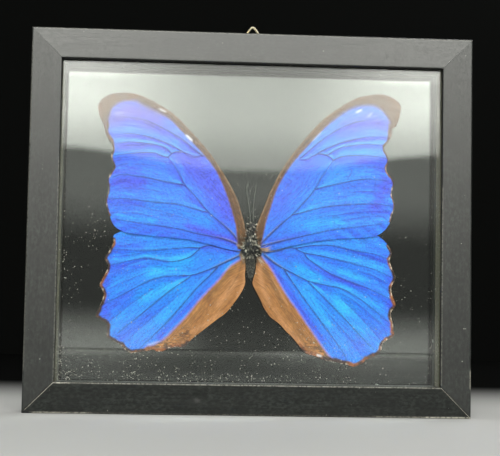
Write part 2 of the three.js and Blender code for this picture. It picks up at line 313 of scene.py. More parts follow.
def addStage():
    bpy.ops.mesh.primitive_plane_add(size=4, location=(0, 0, -0.05 * mm))
    floor = bpy.context.object
    floor.name = "floor"
    material, surface = newMaterial("paleFloor")
    apart = newNode("SeparateXYZ", {0: objectCoords()}).outputs
    middle = mapRange(maths("ABSOLUTE", apart["X"]), *stageSet["shadeHalf"])
    # painted light where the floor lies under the light panel, painted shade in the middle in front
    under = mapRange(apart["Y"], *stageSet["under"])
    shaded = times(middle, mapRange(apart["Y"], *stageSet["shade"]))
    shaded = times(shaded, minus(1.0, times(under, stageSet["underEase"])))
    colour = mixColour(under, stageSet["floorColour"], stageSet["panelLitColour"])
    colour = mixColour(shaded, colour, stageSet["shadedColour"])
    # painted shade: darker towards the backdrop
    colour = mixColour(mapRange(apart["Y"], *stageSet["fade"]), colour, stageSet["backdropColour"])
    setLook(surface, colour, 0.8, fixed={"Specular IOR Level": 0.0})
    floor.data.materials.append(material)
    upright = (math.pi / 2, 0, 0)
    bpy.ops.mesh.primitive_plane_add(size=4, location=(0, stageSet["backdropAway"], 0), rotation=upright)
    backdrop = bpy.context.object
    backdrop.name = "backdrop"
    material, surface = newMaterial("charcoalBackdrop")
    setLook(surface, stageSet["backdropColour"], 0.9, fixed={"Specular IOR Level": 0.0})
    backdrop.data.materials.append(material)
    world = bpy.data.worlds.new("world")
    world.use_nodes = True
    world.node_tree.nodes["Background"].inputs["Color"].default_value = stageSet["worldColour"]
    bpy.context.scene.world = world
    bpy.context.scene.view_settings.view_transform = "Standard"


def addPanel():
    # the soft panel behind the camera, brighter towards both sides and fading out at its lower edge
    bpy.ops.mesh.primitive_plane_add(size=1, location=(0, 0, 0))
    panel = bpy.context.object
    panel.name = "light_panel"
    panel.scale = (2 * panelSet["halfWidth"], panelSet["high"], 1)
    panel.rotation_euler = (-math.pi / 2, 0, 0)
    panel.location = (panelSet["middle"], -panelSet["away"], panelSet["high"] / 2)
    bpy.ops.object.transform_apply(location=True, rotation=True, scale=True)
    material = newMaterial("panelGlow")[0]
    apart = newNode("SeparateXYZ", {0: objectCoords()}).outputs
    high = apart["Z"]
    aside = maths("ABSOLUTE", minus(apart["X"], panelSet["middle"]))
    across = mapRange(aside, *panelSet["sides"], *panelSet["glow"])
    lifted = minus(high, mapRange(aside, *panelSet["sides"], *panelSet["lift"]))
    edge = panelSet["edge"]
    step = mapRange(lifted, edge, edge + panelSet["step"][0], 0.0, panelSet["step"][1])
    upper = plus(step, mapRange(lifted, edge, panelSet["rise"][0], 0.0, panelSet["rise"][1]))
    crown = plus(times(mapRange(high, *panelSet["crown"]), mapRange(aside, *panelSet["crownSides"])), 1.0)
    foot = times(mapRange(high, *panelSet["foot"]), mapRange(aside, *panelSet["footSides"]))
    strength = plus(times(times(across, upper), crown), mapRange(high, *panelSet["tail"]))
    strength = plus(strength, plus(foot, panelSet["faint"]))
    glow = newNode("Emission", {"Color": panelSet["colour"], "Strength": strength})
    feed(material.node_tree.nodes["Material Output"].inputs["Surface"], glow.outputs[0])
    panel.data.materials.append(material)
    panel.visible_camera = False


def addLamp(name, place, aim, size, watts):
    bpy.ops.object.light_add(type="AREA", location=place)
    lamp = bpy.context.object
    lamp.name = name
    lamp.data.shape = "RECTANGLE"
    lamp.data.size, lamp.data.size_y = size
    lamp.data.energy = watts
    lamp.rotation_euler = (Vector(aim) - Vector(place)).to_track_quat("-Z", "Y").to_euler()


addCamera()
addStage()
addPanel()
addLamp("key_lamp", (0.05, -0.95, 1.05), (0, 0, 0.08), (0.9, 0.6), 7)
addLamp("side_lamp", (-0.9, -0.5, 0.75), (0, 0, 0.09), (0.5, 0.5), 2)
addLamp("back_lamp", (0.5, 0.8, 0.9), (0, 0, 0.1), (0.5, 0.5), 4)
print("camera, stage and light set")


# Finishes

def makeGrainGroup():
    # streaks along X, fine pores between them, and the stain's slow mottle
    outputs = [("Streaks", "Float"), ("Mottle", "Float"), ("Height", "Float")]
    group, given, out = newGroup("woodGrain", [("Vector", "Vector")], outputs)
    vector = given["Vector"]
    broad = streaksOf(vector, (22, 700, 700), 3.0, 0.6, 0.6)
    fine = streaksOf(vector, (70, 2400, 2400), 2.0, 0.6)
    pores = mapRange(streaksOf(vector, (260, 3200, 3200), 1.0), 0.62, 0.72)
    mottle = streaksOf(vector, (420, 800, 800), 4.0, 0.65)
    streaks = weighted((broad, 0.6), (fine, 0.4))
    feed(out["Streaks"], streaks)
    feed(out["Mottle"], mottle)
    feed(out["Height"], minus(plus(streaks, times(mottle, 0.12)), times(pores, 0.2)))
    return group


def makeSpeckGroup():
    # scattered pale specks of dust: Amount is the share of cells that hold one
    inputs = [("Vector", "Vector"), ("Scale", "Float"), ("Amount", "Float"), ("Size", "Float")]
    group, given, out = newGroup("dustSpecks", inputs, [("Specks", "Float")])
    cells = newNode("TexVoronoi", {"Vector": given["Vector"], "Scale": given["Scale"]}).outputs
    lot = newNode("SeparateColor", {0: cells["Color"]}).outputs
    taken = maths("LESS_THAN", lot[0], given["Amount"])
    dot = maths("LESS_THAN", cells["Distance"], times(given["Size"], plus(lot[1], 0.3)))
    feed(out["Specks"], times(taken, dot))
    return group


grainGroup = makeGrainGroup()
speckGroup = makeSpeckGroup()

blackWoodSet = {
    "dark": (0.0045, 0.0052, 0.0047),
    "light": (0.013, 0.0145, 0.013),
    "rubbed": (0.030, 0.036, 0.031),
    "worn": (0.56, 0.54, 0.46),
    "dust": (0.32, 0.32, 0.28),
    # painted shade: the near black of the lips' inner faces
    "lipShade": (0.0015, 0.0015, 0.0015),
}


def blackWood(name, upright, worn=False, gloss=0.8):
    material, surface = newMaterial(name)
    vector = stretched(objectCoords(), (1, 1, 1), (0, math.pi / 2 if upright else 0, 0))
    grain = placeGroup(grainGroup, Vector=vector)
    streaks = mapRange(grain["Streaks"], 0.3, 0.72)
    colour = mixColour(streaks, blackWoodSet["dark"], blackWoodSet["light"])
    slow = mapRange(noiseOf(vector, 90.0, 3.0, 0.6), 0.35, 0.65, 0.35, 1.0)
    patches = times(mapRange(grain["Mottle"], 0.38, 0.70, 0.0, 0.9), slow)
    colour = mixColour(patches, colour, blackWoodSet["rubbed"])
    specks = placeGroup(speckGroup, Vector=vector, Scale=520.0, Amount=0.07, Size=0.16)["Specks"]
    colour = mixColour(times(specks, 0.55), colour, blackWoodSet["dust"])
    rough = mapRange(grain["Mottle"], 0.36, 0.64, 0.29, 0.37)
    # worn edges are lightened, and the lips' inner faces are coloured near black as painted shade
    if worn:
        broken = mapRange(noiseOf(vector, 900.0, 3.0, 0.7), 0.30, 0.62)
        wear = times(attributeOf("wear"), broken, clamp=True)
        colour = overlay(mixColour(wear, colour, blackWoodSet["worn"]), ("lipShade", 1, blackWoodSet["lipShade"]))
        rough = plus(rough, times(attributeOf("lipShade"), 0.5))
    rough = plus(rough, times(streaks, 0.05))
    normal = bump(grain["Height"], 0.35, 0.06 * mm)
    setLook(surface, colour, rough, normal, {"Specular IOR Level": gloss})
    return material


def plainWood(name, dark, light):
    material, surface = newMaterial(name)
    vector = objectCoords()
    grain = placeGroup(grainGroup, Vector=vector)
    specks = placeGroup(speckGroup, Vector=vector, Scale=700.0, Amount=0.25, Size=0.3)["Specks"]
    colour = ramp(grain["Streaks"], (0.25, dark), (0.75, light))
    colour = mixColour(times(specks, 0.5), colour, (0.4, 0.39, 0.33))
    rough = mapRange(grain["Mottle"], 0.3, 0.7, 0.55, 0.8)
    setLook(surface, colour, rough, bump(grain["Height"], 0.5, 0.1 * mm))
    return material


def platedMetal(name, bright, dull, roughLow, roughHigh):
    material, surface = newMaterial(name)
    vector = objectCoords()
    tarnish = noiseOf(vector, 900.0, 4.0, 0.65)
    scratches = streaksOf(vector, (400, 400, 4000), 2.0)
    colour = mixColour(mapRange(tarnish, 0.45, 0.72), bright, dull)
    rough = mapRange(tarnish, 0.3, 0.7, roughLow, roughHigh)
    setLook(surface, colour, rough, bump(scratches, 0.15, 0.02 * mm), {"Metallic": 1.0})
    return material


def clearGlass(name, density):
    # glass that lets the lamps through, with wiped smears in its gloss
    material, surface = newMaterial(name)
    vector = objectCoords()
    streaks = mapRange(streaksOf(vector, (520, 520, 26), 3.0, 0.6), 0.5, 0.7)
    blotches = mapRange(noiseOf(vector, 26.0, 3.0, 0.6), 0.48, 0.66)
    rough = times(times(streaks, blotches), 0.02)
    setLook(surface, (0.93, 0.965, 0.945), rough, fixed={"Transmission Weight": 1.0, "IOR": density})
    through = newNode("BsdfTransparent", {"Color": (0.92, 0.95, 0.93)})
    isShadow = newNode("LightPath").outputs["Is Shadow Ray"]
    both = newNode("MixShader", {0: isShadow, 1: surface.outputs[0], 2: through.outputs[0]})
    feed(material.node_tree.nodes["Material Output"].inputs["Surface"], both.outputs[0])
    return material


def cloudyMaterial(name, pattern, stops, rough, relief=None, fixed=(), stretch=(1, 1, 1)):
    # a finish whose colour, roughness and relief all follow one noise
    material, surface = newMaterial(name)
    cloud = noiseOf(stretched(objectCoords(), stretch), *pattern)
    normal = bump(cloud, *relief) if relief else None
    setLook(surface, ramp(cloud, *stops), mapRange(cloud, 0.3, 0.7, *rough), normal, fixed)
    return material


def giveNodes(material, *names):
    for name in names:
        slots = nodes[name].material_slots
        if slots:
            slots[0].material = material
        else:
            nodes[name].data.materials.append(material)


giveNodes(blackWood("blackWoodAcross", False), "stop_top", "stop_bottom")
giveNodes(blackWood("blackWoodUpright", True), "stop_left", "stop_right")
giveNodes(plainWood("spacerWood", (0.050, 0.046, 0.028), (0.17, 0.155, 0.105)), "spacer_left", "spacer_right")
# the same wood in dark tones for the top and bottom spacers: painted shade
spacerWoodShaded = plainWood("spacerWoodShaded", (0.004, 0.004, 0.003), (0.024, 0.023, 0.016))
giveNodes(spacerWoodShaded, "spacer_top", "spacer_bottom")
giveNodes(clearGlass("clearGlassFront", 1.46), "glass_front")
giveNodes(clearGlass("clearGlassRear", 1.56), "glass_rear")
brass = platedMetal("brassPlate", (0.95, 0.86, 0.60), (0.74, 0.60, 0.34), 0.26, 0.42)
giveNodes(brass, "hanger_strap", "hanger_ring", "hanger_screw")
steel = platedMetal("dullSteel", (0.46, 0.46, 0.45), (0.22, 0.20, 0.17), 0.3, 0.5)
giveNodes(steel, *[f"stop_pin_{side}_{number}" for side in sides for number in (1, 2)])
glue = cloudyMaterial(
    "clearGlue", (500.0, 3.0), [(0.3, (0.62, 0.56, 0.40)), (0.8, (0.85, 0.82, 0.70))],
    (0.12, 0.3), (0.4, 0.3 * mm), {"Transmission Weight": 0.7, "IOR": 1.48})
giveNodes(glue, "glue_dab")
print("finishes given to the frame's own pieces")


# Rails: the CAD shape, cut finely, with eased mitres, worn edges, painted shade on the lips' inner faces and
# a dent

railSet = {
    "step": 1.1 * mm,  # between the cuts along a rail, across its face and through its depth
    "rowStep": 1.0 * mm,
    "depthStep": 2.5 * mm,
    "edgeCuts": (0.35 * mm, railFace - 0.75 * mm),
    "unevenness": 0.05 * mm,
    "mitreEase": 0.22 * mm,
    "mitreDepth": 0.20 * mm,
    "mitreReach": 0.12 * mm,
    "tightEase": 0.09 * mm,  # the two upper mitres have stayed closed
    "tightShare": 0.85,
    "openFrom": 0.35,  # but a hairline shows in their inner part
    "openOver": 0.25,
    "skin": 0.3 * mm,  # how deep the front's own points lie
    "wearWidth": 0.28,
    "lip": 0.2 * mm,
    "dentPlace": (-24.0 * mm, 8.3 * mm),
    "dentWidth": 1.4 * mm,
    "dentDepth": 0.65 * mm,
}

# worn places: from, to (x, z in mm on the front face), strength
wornLines = [
    ((-90.6, 14.25), (90.6, 14.25), 0.55), ((-90.4, 14.25), (-84, 14.25), 1.1),
    ((-100.5, 0.4), (-73, 0.4), 0.9), ((-73, 0.4), (60, 0.4), 0.2), ((60, 0.4), (104.8, 0.4), 0.6),
    ((84, 0.4), (104.8, 0.4), 1.5), ((104.6, 14), (104.6, 22), 0.6), ((-104.6, 20), (-104.6, 175), 0.18),
    ((-104.5, 180.6), (104.5, 180.6), 0.22), ((-90.7, 15), (-90.7, 120), 0.3),
    ((90.7, 15), (90.7, 110), 0.3),
]


def bisectAll(piece, cuts):
    editAll(piece, *[
        (bpy.ops.mesh.bisect, {"plane_co": place, "plane_no": normal}) for place, normal in cuts])


def cutAcross(piece, axis, places):
    normal = [float(axis == other) for other in range(3)]
    bisectAll(piece, [([place * share for share in normal], normal) for place in places])


def evenly(start, end, step):
    count = max(2, round((end - start) / step))
    return [start + (end - start) * index / count for index in range(1, count)]


def mitreGapOf(x, z):
    # how far a point of a rail lies from its nearer mitre plane
    fromSide = outerHalf - abs(x)
    fromEnd = min(z, outerTop - z)
    return abs(fromSide - fromEnd) / math.sqrt(2)


def easeMitres(piece):
    cuts = []
    for signX in (-1, 1):
        for endZ, signZ, ease in ((0.0, 1, railSet["mitreEase"]), (outerTop, -1, railSet["tightEase"])):
            normal = Vector((signX, 0, signZ)).normalized()
            corner = Vector((signX * outerHalf, 0, endZ))
            cuts += [(corner + normal * ease * side, normal) for side in (-1, 1)]
    bisectAll(piece, cuts)


def lineGap(x, z, start, end):
    here = Vector((x, z))
    begin = Vector(start)
    way = Vector(end) - begin
    share = min(1.0, max(0.0, (here - begin).dot(way) / way.dot(way)))
    return (here - begin - way * share).length


def wearAt(x, z):
    fars = [(lineGap(x / mm, z / mm, start, end), most) for start, end, most in wornLines]
    return max(most * math.exp(-(far / railSet["wearWidth"]) ** 2) for far, most in fars)


def shapeRail(piece):
    # the front sinks a little, and the ends of the two upper mitres draw towards the mitre's plane
    wear = []
    dentX, dentZ = railSet["dentPlace"]
    for vert in piece.data.vertices:
        x, y, z = vert.co
        depth = y - frontFace
        isSkin = depth < railSet["skin"]
        isUpper = z > outerTop / 2
        atMitre = mitreGapOf(x, z) < railSet["mitreReach"]
        if depth < 1.0 * mm:
            swell = 0.5 + 0.5 * noise.noise(Vector((x, 3.0, z)) * 55)
            push = railSet["unevenness"] * swell * (1 - depth / mm)
            if atMitre and not isUpper:
                push += railSet["mitreDepth"] * (0.75 + 0.25 * noise.noise(Vector((x, 0, z)) * 300))
            away = math.hypot(x - dentX, z - dentZ) / railSet["dentWidth"]
            push += railSet["dentDepth"] * math.exp(-away * away) * (1 if isSkin else 0)
            vert.co.y += push
        if atMitre and isUpper:
            fromSide = outerHalf - abs(x)
            inward = (fromSide / railFace - railSet["openFrom"]) / railSet["openOver"]
            opened = 0.85 * min(1.0, max(0.0, inward))
            shift = (fromSide - (outerTop - z)) / 2 * railSet["tightShare"] * (1 - opened)
            vert.co.x += shift if x > 0 else -shift
            vert.co.z -= shift
        wear.append(wearAt(x, z) if isSkin else 0.0)
    setValues(piece, "wear", wear)
    # painted shade: the inner faces of the lips, behind the front's skin, are marked to be coloured near
    # black
    lipShade = []
    for vert in piece.data.vertices:
        x, y, z = vert.co
        lip = railFace - railSet["lip"]
        isInner = abs(x) < outerHalf - lip and lip < z < outerTop - lip
        lipShade.append(1.0 if isInner and y - frontFace > railSet["skin"] else 0.0)
    setValues(piece, "lipShade", lipShade)


def addRail(side, material):
    piece = copyOfNode("rail_" + side, "detailed_rail_" + side)
    low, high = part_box("rail_" + side)
    along = 0 if side in ("top", "bottom") else 2
    across = 2 - along
    easeMitres(piece)
    cutAcross(piece, along, evenly(low[along], high[along], railSet["step"]))
    cutAcross(piece, across, evenly(low[across], high[across], railSet["rowStep"]))
    cutAcross(piece, 1, evenly(low.y, high.y, railSet["depthStep"]))
    if side in ("bottom", "left"):
        cutAcross(piece, across, [low[across] + edge for edge in railSet["edgeCuts"]])
    else:
        cutAcross(piece, across, [high[across] - edge for edge in railSet["edgeCuts"]])
    shapeRail(piece)
    smoothByAngle(piece, 40)
    for face in piece.data.polygons:
        isMitreEnd = abs(face.normal.x) > 0.6 and abs(face.normal.z) > 0.6
        if isMitreEnd and face.center.z > outerTop / 2:
            face.use_smooth = False  # so that the front isn't shaded round a closed mitre's edge
    piece.data.materials.append(material)
    finishPiece(piece, "black_wood", "rail_" + side)


addRail("top", blackWood("wornWoodTopLipShade", False, True))
addRail("bottom", blackWood("wornWoodFootLipShade", False, True, 0.28))
addRail("left", blackWood("wornWoodLeftLipShade", True, True, 0.62))
addRail("right", blackWood("wornWoodRightLipShade", True, True, 0.60))
print("rails detailed")


# Pale filler that shows in the two lower mitres

fillerSet = {
    "width": 0.44 * mm,
    "steps": 70,
    "bevel": 0.14 * mm,  # how far its sides and its back lie behind the crest
    "depth": 0.3 * mm,
    "left": (1.6, 14.3, 1.0),  # from, to along X and Z in mm, and how full it is
    "right": (0.8, 14.2, 0.55),
}


def addFiller(side):
    sign = -1 if side == "left" else 1
    start, end, fullness = fillerSet[side]
    bevel = fillerSet["bevel"]
    verts = []
    faces = []
    steps = fillerSet["steps"]
    for index in range(steps + 1):
        reach = (start + (end - start) * index / steps) * mm
        x = sign * (outerHalf - reach)
        wobble = 0.5 + noise.noise(Vector((reach * 900, sign * 3.0, 0)))
        half = fillerSet["width"] / 2 * max(0.12, min(1.2, wobble * fullness + 0.25))
        off = noise.noise(Vector((reach * 500, 7.0, sign))) * 0.05 * mm
        crest = frontFace + (0.05 + 0.05 * abs(wobble)) * mm
        for aside, depth in ((-half, bevel), (0, 0), (half, bevel), (0, fillerSet["depth"])):
            turn = (aside + off) / math.sqrt(2)
            verts.append((x + sign * turn, crest + depth, reach + turn))
        if index:
            faces += tubeFaces(4 * index, 4)
    faces += [(0, 1, 2, 3), tuple(4 * steps + corner for corner in (3, 2, 1, 0))]
    piece = newPiece("mitre_filler_" + side, verts, faces)
    editAll(piece, (bpy.ops.mesh.normals_make_consistent, {"inside": False}))
    stops = [(0.3, (0.24, 0.23, 0.19)), (0.50, (0.66, 0.63, 0.52)), (0.7, (0.90, 0.87, 0.76))]
    pattern = (1500.0, 3.0, 0.7)
    piece.data.materials.append(
        cloudyMaterial("paleFiller_" + side, pattern, stops, (0.6, 0.85), (0.5, 0.1 * mm)))
    finishPiece(piece, "black_wood")


addFiller("left")
addFiller("right")
print("mitre filler laid in")


# Wings: a fine sheet on each CAD outline, with raised veins, pleats and a fringe

wingSet = {
    "grid": 0.55,  # all in mm, but for the thickness
    "edgeStep": 0.4,
    "rowGap": 0.26,  # rows of points beside each vein, and what is kept clear of them and of the edge
    "rowClear": 0.24,
    "edgeClear": 0.22,
    "thickness": 0.11 * mm,
    "veinHeight": 0.11,
    "veinWidth": 0.18,
    "veinLine": 0.225,  # its dark line, and how much that widens at the root
    "veinSwell": 0.16,
    "pleatDepth": 0.37,
    "foldDepth": 0.24,
    "marginWave": 0.14,
    "foreReach": (-0.30, 0.50),  # the most that a sheet leaves its plane
    "hindReach": (-0.65, 0.22),
    "tailBelow": 33,  # a hindwing's edge is all free margin below this
    "fringeLength": 0.42,
    "fringeGap": 0.16,
    "tuck": 1.5,  # how far a forewing's root reaches in under the thorax
    "middle": 0.3,  # the body's axis
}

# Lines are chosen points (x, z) in mm, from the root outwards. Strokes add a half width and a strength. The
# near-white strokes are painted highlights: glints of light on the wing.
# The azure strokes are partly the scales' hue and partly painted sheen; the violet ones partly hue and partly
# painted shade.
wingLines = {
    "forewing_left": {
        "root": (-2, 80.5),
        "veins": [
            [(-4, 80.6), (-11, 88), (-20, 95.7), (-26.7, 103.3), (-31.7, 108.7), (-35.3, 115.3),
             (-40, 121.9)],
            [(-40, 121.9), (-38.3, 123.7), (-36, 124.6), (-32.3, 124.3), (-27.7, 122.7), (-24.2, 123.4)],
            [(-23.6, 123), (-30, 128), (-35.5, 131.9), (-43.3, 136), (-48.3, 138.3), (-55, 140.2),
             (-64.8, 140.7)],
            [(-33, 124.8), (-40, 128.3), (-45, 130.2), (-52, 132), (-60, 132.8), (-66, 132.4)],
            [(-38.6, 124), (-41, 126.2), (-45, 127.5), (-50, 128.2), (-58.3, 128.7), (-65.6, 127.6)],
            [(-40, 121.9), (-43.3, 122.5), (-46.3, 123.7), (-51.7, 123.8), (-58, 123.2), (-65.6, 122)],
            [(-31.7, 108.8), (-40, 109.8), (-50, 111.8), (-55, 112.3), (-62, 113), (-66.6, 111.3)],
            [(-21, 96), (-25, 96.8), (-35, 99.3), (-45, 100), (-55, 101), (-62, 101.6), (-68, 101)],
            [(-4.5, 80), (-13.3, 83.2), (-26.7, 85.7), (-33.3, 87.3), (-45, 89), (-55, 90.2), (-64, 91.5)],
        ],
        "folds": [
            [(-46, 117.6), (-55, 118.3), (-60, 118), (-66, 116.2)],
            [(-50, 136), (-60, 137), (-65, 136.6)],
            [(-51, 106.2), (-60, 106.5), (-67.5, 105.3)],
            [(-40, 104.8), (-50, 106.2)],
            [(-28, 91.5), (-38, 94.5), (-47, 96.6), (-57, 98.5), (-67.5, 98)],
            [(-44, 92.6), (-55, 94.6), (-67, 94.8)],
            [(-36, 118), (-44, 120.2), (-55, 120.8)],
        ],
        "brown": [
            (-5.9, 78.5), (-6.6, 84), (-7.3, 90), (-10.3, 100), (-14.2, 110), (-20.2, 120), (-35, 135.5),
            (-40, 140.2), (-45.5, 143.2), (-53, 146.5), (-56, 148.2), (-60, 148.5), (-64, 147.2),
            (-67, 144.8), (-68.8, 140), (-72, 134),
        ],
        "brownSoft": [(0, 0.35), (-35, 0.5), (-48, 1.8), (-60, 1.7), (-70, 0.9)],
        "margin": [
            (148, 4.2), (143, 4), (139, 3.2), (134, 1.9), (130, 1.3), (124, 0.8), (118, 0.6), (90, 0.5),
        ],
        "marginFrom": (-60, 93),
        "violetHueAndShade": [
            ([(-10, 97), (-20, 112), (-30, 120)], 7, 0.8), ([(-45, 137), (-62, 144)], 5, 0.7),
            ([(-52, 108.5), (-64, 109)], 2.6, 0.6), ([(-55, 115), (-65, 114)], 2.5, 0.5),
            ([(-8, 82.5), (-30, 89)], 1.8, 0.9), ([(-52, 126), (-62, 125.5)], 2, 0.6),
        ],
        "cyanHueAndSheen": [
            ([(-20, 92), (-34, 96), (-48, 98.4)], 3.2, 0.8), ([(-36, 106), (-48, 108)], 3, 0.5),
            ([(-46, 91.4), (-62, 92.8)], 1.6, 0.7),
        ],
        "paintedGlint": [
            ([(-29, 130.2), (-31.5, 132.6)], 0.5, 1), ([(-42, 143.8), (-44.5, 145)], 0.4, 0.8),
            ([(-35.5, 119.2), (-36.3, 120.2)], 0.2, 0.3), ([(-62, 142.5), (-66, 142.2)], 0.4, 0.35),
        ],
        "fade": [([(-67, 139), (-59, 144), (-46, 141.5)], 4.2, 0.75), ([(-40, 137), (-30, 129)], 1.6, 0.3)],
        "flecks": [
            (-68.9, 140.6), (-69.3, 138), (-67.6, 131.5), (-66.8, 121.6), (-67.6, 112), (-68.5, 104.5),
            (-69, 98),
        ],
    },
    "forewing_right": {
        "root": (3, 80.5),
        "veins": [
            [(4.6, 80.7), (10, 86.3), (15, 91.2), (20, 95.7), (25, 101.2), (30, 107.2), (34.5, 115.3),
             (39.3, 122.4)],
            [(39.3, 122.4), (38, 123.8), (36, 124.7), (33, 125.3), (29, 124.1), (27, 122.8), (23, 122.4)],
            [(23.4, 123), (30, 129), (35, 133.2), (40, 136.5), (45, 139.3), (52, 141.6), (60, 142.6),
             (66, 142)],
            [(31, 125.1), (35, 127.5), (41, 130.3), (46, 131.9), (53, 133.6), (60, 134.4), (66, 134.2)],
            [(36.5, 124.9), (42, 128.3), (47, 129.5), (55, 130.6), (60, 130.4), (66, 130)],
            [(39.3, 122.4), (44, 124.3), (50, 124.8), (55, 125), (60, 124.7), (65.6, 123.8)],
            [(31, 108.3), (33, 108.8), (42, 111), (50, 112.8), (57, 113.6), (66.4, 113)],
            [(20, 95.5), (25, 96.8), (35, 99.5), (45, 100.8), (54, 101.5), (61, 101.6), (68.4, 100.6)],
            [(4.6, 79.9), (10, 81.3), (20, 84), (30, 86.5), (40, 88.8), (50, 90.2), (63, 92)],
        ],
        "folds": [
            [(47.5, 119.6), (57, 119.7), (65.6, 118.6)],
            [(48, 107.2), (55, 107.6), (67.6, 107.2)],
            [(48.5, 118.5), (47.5, 115), (46, 112.5)],
            [(60.2, 113.4), (59.3, 107.8)],
            [(48, 137.3), (53, 139), (58, 139.5), (65.5, 138.8)],
            [(36, 95), (42, 96), (48, 97), (55, 98), (68, 98.4)],
            [(44, 93.2), (52, 94.6), (60, 95.6), (67.5, 95.4)],
        ],
        "brown": [
            (4.9, 78.5), (5.4, 82), (6.2, 86), (7.5, 92), (9, 97), (12.5, 108), (18, 118), (23.5, 125),
            (35, 137.8), (42, 143.8), (47.5, 147.3), (52, 148.8), (58, 149.2), (62, 147.4), (65, 144),
            (66.8, 140), (66, 134), (71, 128),
        ],
        "brownSoft": [(0, 0.35), (35, 0.5), (46, 1.6), (60, 1.6), (70, 0.8)],
        "margin": [(148, 3.2), (143, 3), (139, 2.5), (134, 1.6), (130, 1), (124, 0.7), (90, 0.5)],
        "marginFrom": (60, 93),
        "violetHueAndShade": [
            ([(12, 98), (20, 112), (27, 119)], 6, 0.45), ([(60, 101), (66, 112), (63, 120)], 3.5, 0.7),
            ([(45, 136), (60, 141)], 4.5, 0.45), ([(52, 122), (62, 121.5)], 1.8, 0.5),
            ([(9, 82.2), (28, 87.5)], 1.3, 0.5),
        ],
        "cyanHueAndSheen": [
            ([(28, 91), (36, 93), (42, 93.4)], 3.5, 1), ([(22, 92), (34, 104), (42, 116)], 5, 0.45),
            ([(44, 127), (60, 127.5)], 2, 0.5), ([(48, 104), (58, 104.5)], 2, 0.4),
        ],
        "paintedGlint": [
            ([(50.5, 146), (52.5, 147)], 0.5, 0.9), ([(29.5, 131.8), (33, 135.6)], 0.35, 0.45),
            ([(56, 144), (57.4, 145.6)], 0.4, 0.5),
        ],
        "fade": [([(66, 138), (58, 144.5), (46, 141.5)], 3.2, 0.35)],
        "flecks": [
            (65.2, 119), (65.7, 117.2), (68, 109), (67.8, 106.2), (68.2, 98), (67.3, 95.6), (67, 130.5),
        ],
    },
    "hindwing_left": {
        "root": (-3.5, 76.5),
        "veins": [
            [(-5.7, 77.5), (-13.3, 79), (-19.7, 80), (-24, 78.8), (-30, 78.7), (-40, 77.8), (-50, 77),
             (-65, 77.2)],
            [(-24, 78.7), (-25.7, 76.8), (-30, 73.7), (-38, 71.9), (-48.3, 73.3), (-53.3, 72.8), (-67, 69.6)],
            [(-5, 75.3), (-13.3, 71.3), (-20, 68.3), (-27.7, 65.7), (-40, 64.8), (-48.3, 62.3), (-58, 57),
             (-70, 50.5)],
            [(-27.7, 65.7), (-30, 63.7), (-36.7, 59), (-45, 52), (-52, 46), (-62, 37.6)],
            [(-15.5, 69.5), (-20, 64.7), (-25, 59.7), (-33.3, 49.7), (-40, 42), (-48, 34), (-51, 31)],
        ],
        "folds": [
            [(-46, 58.6), (-55, 52.3), (-61.7, 46.7), (-68, 41.4)],
            [(-50, 66), (-55.7, 63.7), (-63.3, 60.3), (-69.4, 56.2)],
            [(-45, 73.6), (-51.7, 72), (-58.3, 69.7), (-68, 65.2)],
            [(-50, 76), (-58, 74.5), (-66.6, 73.8)],
            [(-34, 56), (-43, 47.5), (-53, 38.5), (-58, 33.6)],
            [(-56, 80.5), (-60, 79), (-65, 80)],
        ],
        "brown": [
            (-4, 74.6), (-5, 73.3), (-10, 69.7), (-15, 63.3), (-20, 58), (-25, 52.3), (-30, 45.8),
            (-35, 40.5), (-40, 35.3), (-45, 32.3), (-48.3, 31), (-50, 29),
        ],
        "brownSoft": [(0, 0.7), (-30, 0.7), (-50, 1)],
        "margin": [(90, 0.9), (60, 1.15), (34, 1.3), (28, 1.5)],
        "marginFrom": (-38, 82),
        "violetHueAndShade": [
            ([(-13, 66.5), (-28, 50.5), (-42, 36)], 1.8, 0.9), ([(-52, 79), (-65, 79.5)], 3, 0.6),
            ([(-55, 58), (-66, 50)], 2.6, 0.5), ([(-60, 69), (-66, 66)], 2.4, 0.6),
            ([(-48, 46), (-60, 35)], 2.2, 0.35), ([(-8, 77), (-22, 79)], 2, 0.6),
            ([(-67, 72), (-69, 58), (-68, 46)], 2.6, 0.7), ([(-40, 72), (-56, 68.6)], 1.4, 0.5),
        ],
        "cyanHueAndSheen": [
            ([(-30, 72.5), (-36, 71), (-46, 68)], 4, 1), ([(-34, 60), (-44, 58), (-52, 55.6)], 4, 0.8),
            ([(-9, 71.8), (-20, 59.4), (-30, 47.2), (-40, 37)], 0.9, 0.8),
            ([(-38, 76), (-56, 75.4)], 1.6, 0.6), ([(-30, 55), (-42, 44)], 3, 0.5),
        ],
        "paintedGlint": [([(-48, 32.2), (-43, 33.8)], 0.4, 0.3)],
        "crumple": [([(-29, 38.5), (-36, 33.5), (-47, 30.5)], 2.3, 1)],
        "brownShade": [
            ([(-7, 70.5), (-13, 63), (-19.5, 55.5)], 1, 0.9),
            ([(-15, 59), (-25, 47), (-33.5, 37.5)], 0.8, 0.5),
            ([(-3.5, 73), (-5.5, 66), (-10, 59)], 0.35, 0.8),
            ([(-11, 60), (-20, 49.6), (-30, 39)], 0.3, 0.6),
            ([(-33, 36), (-36, 33.4), (-41, 32.6)], 1.1, 0.9), ([(-41, 33.6), (-46, 31)], 0.8, 0.9),
        ],
        "brownGlow": [
            ([(-2.2, 72), (-2.2, 63), (-5.5, 56)], 1, 0.8), ([(-7, 63), (-11.5, 56), (-15, 52)], 1.8, 0.8),
            ([(-14, 47.5), (-21, 42), (-27, 38.6)], 1.3, 0.7), ([(-35.4, 34.8), (-38, 31.8)], 0.3, 0.9),
        ],
        "flecks": [
            (-64.6, 81.9), (-66.8, 76), (-67.8, 72.2), (-68.1, 66.9), (-69.6, 58.3), (-69.4, 54),
            (-70.6, 48.2), (-66.6, 36.8), (-58.5, 30.3), (-56, 29.4), (-48, 28.6), (-42.4, 29.2),
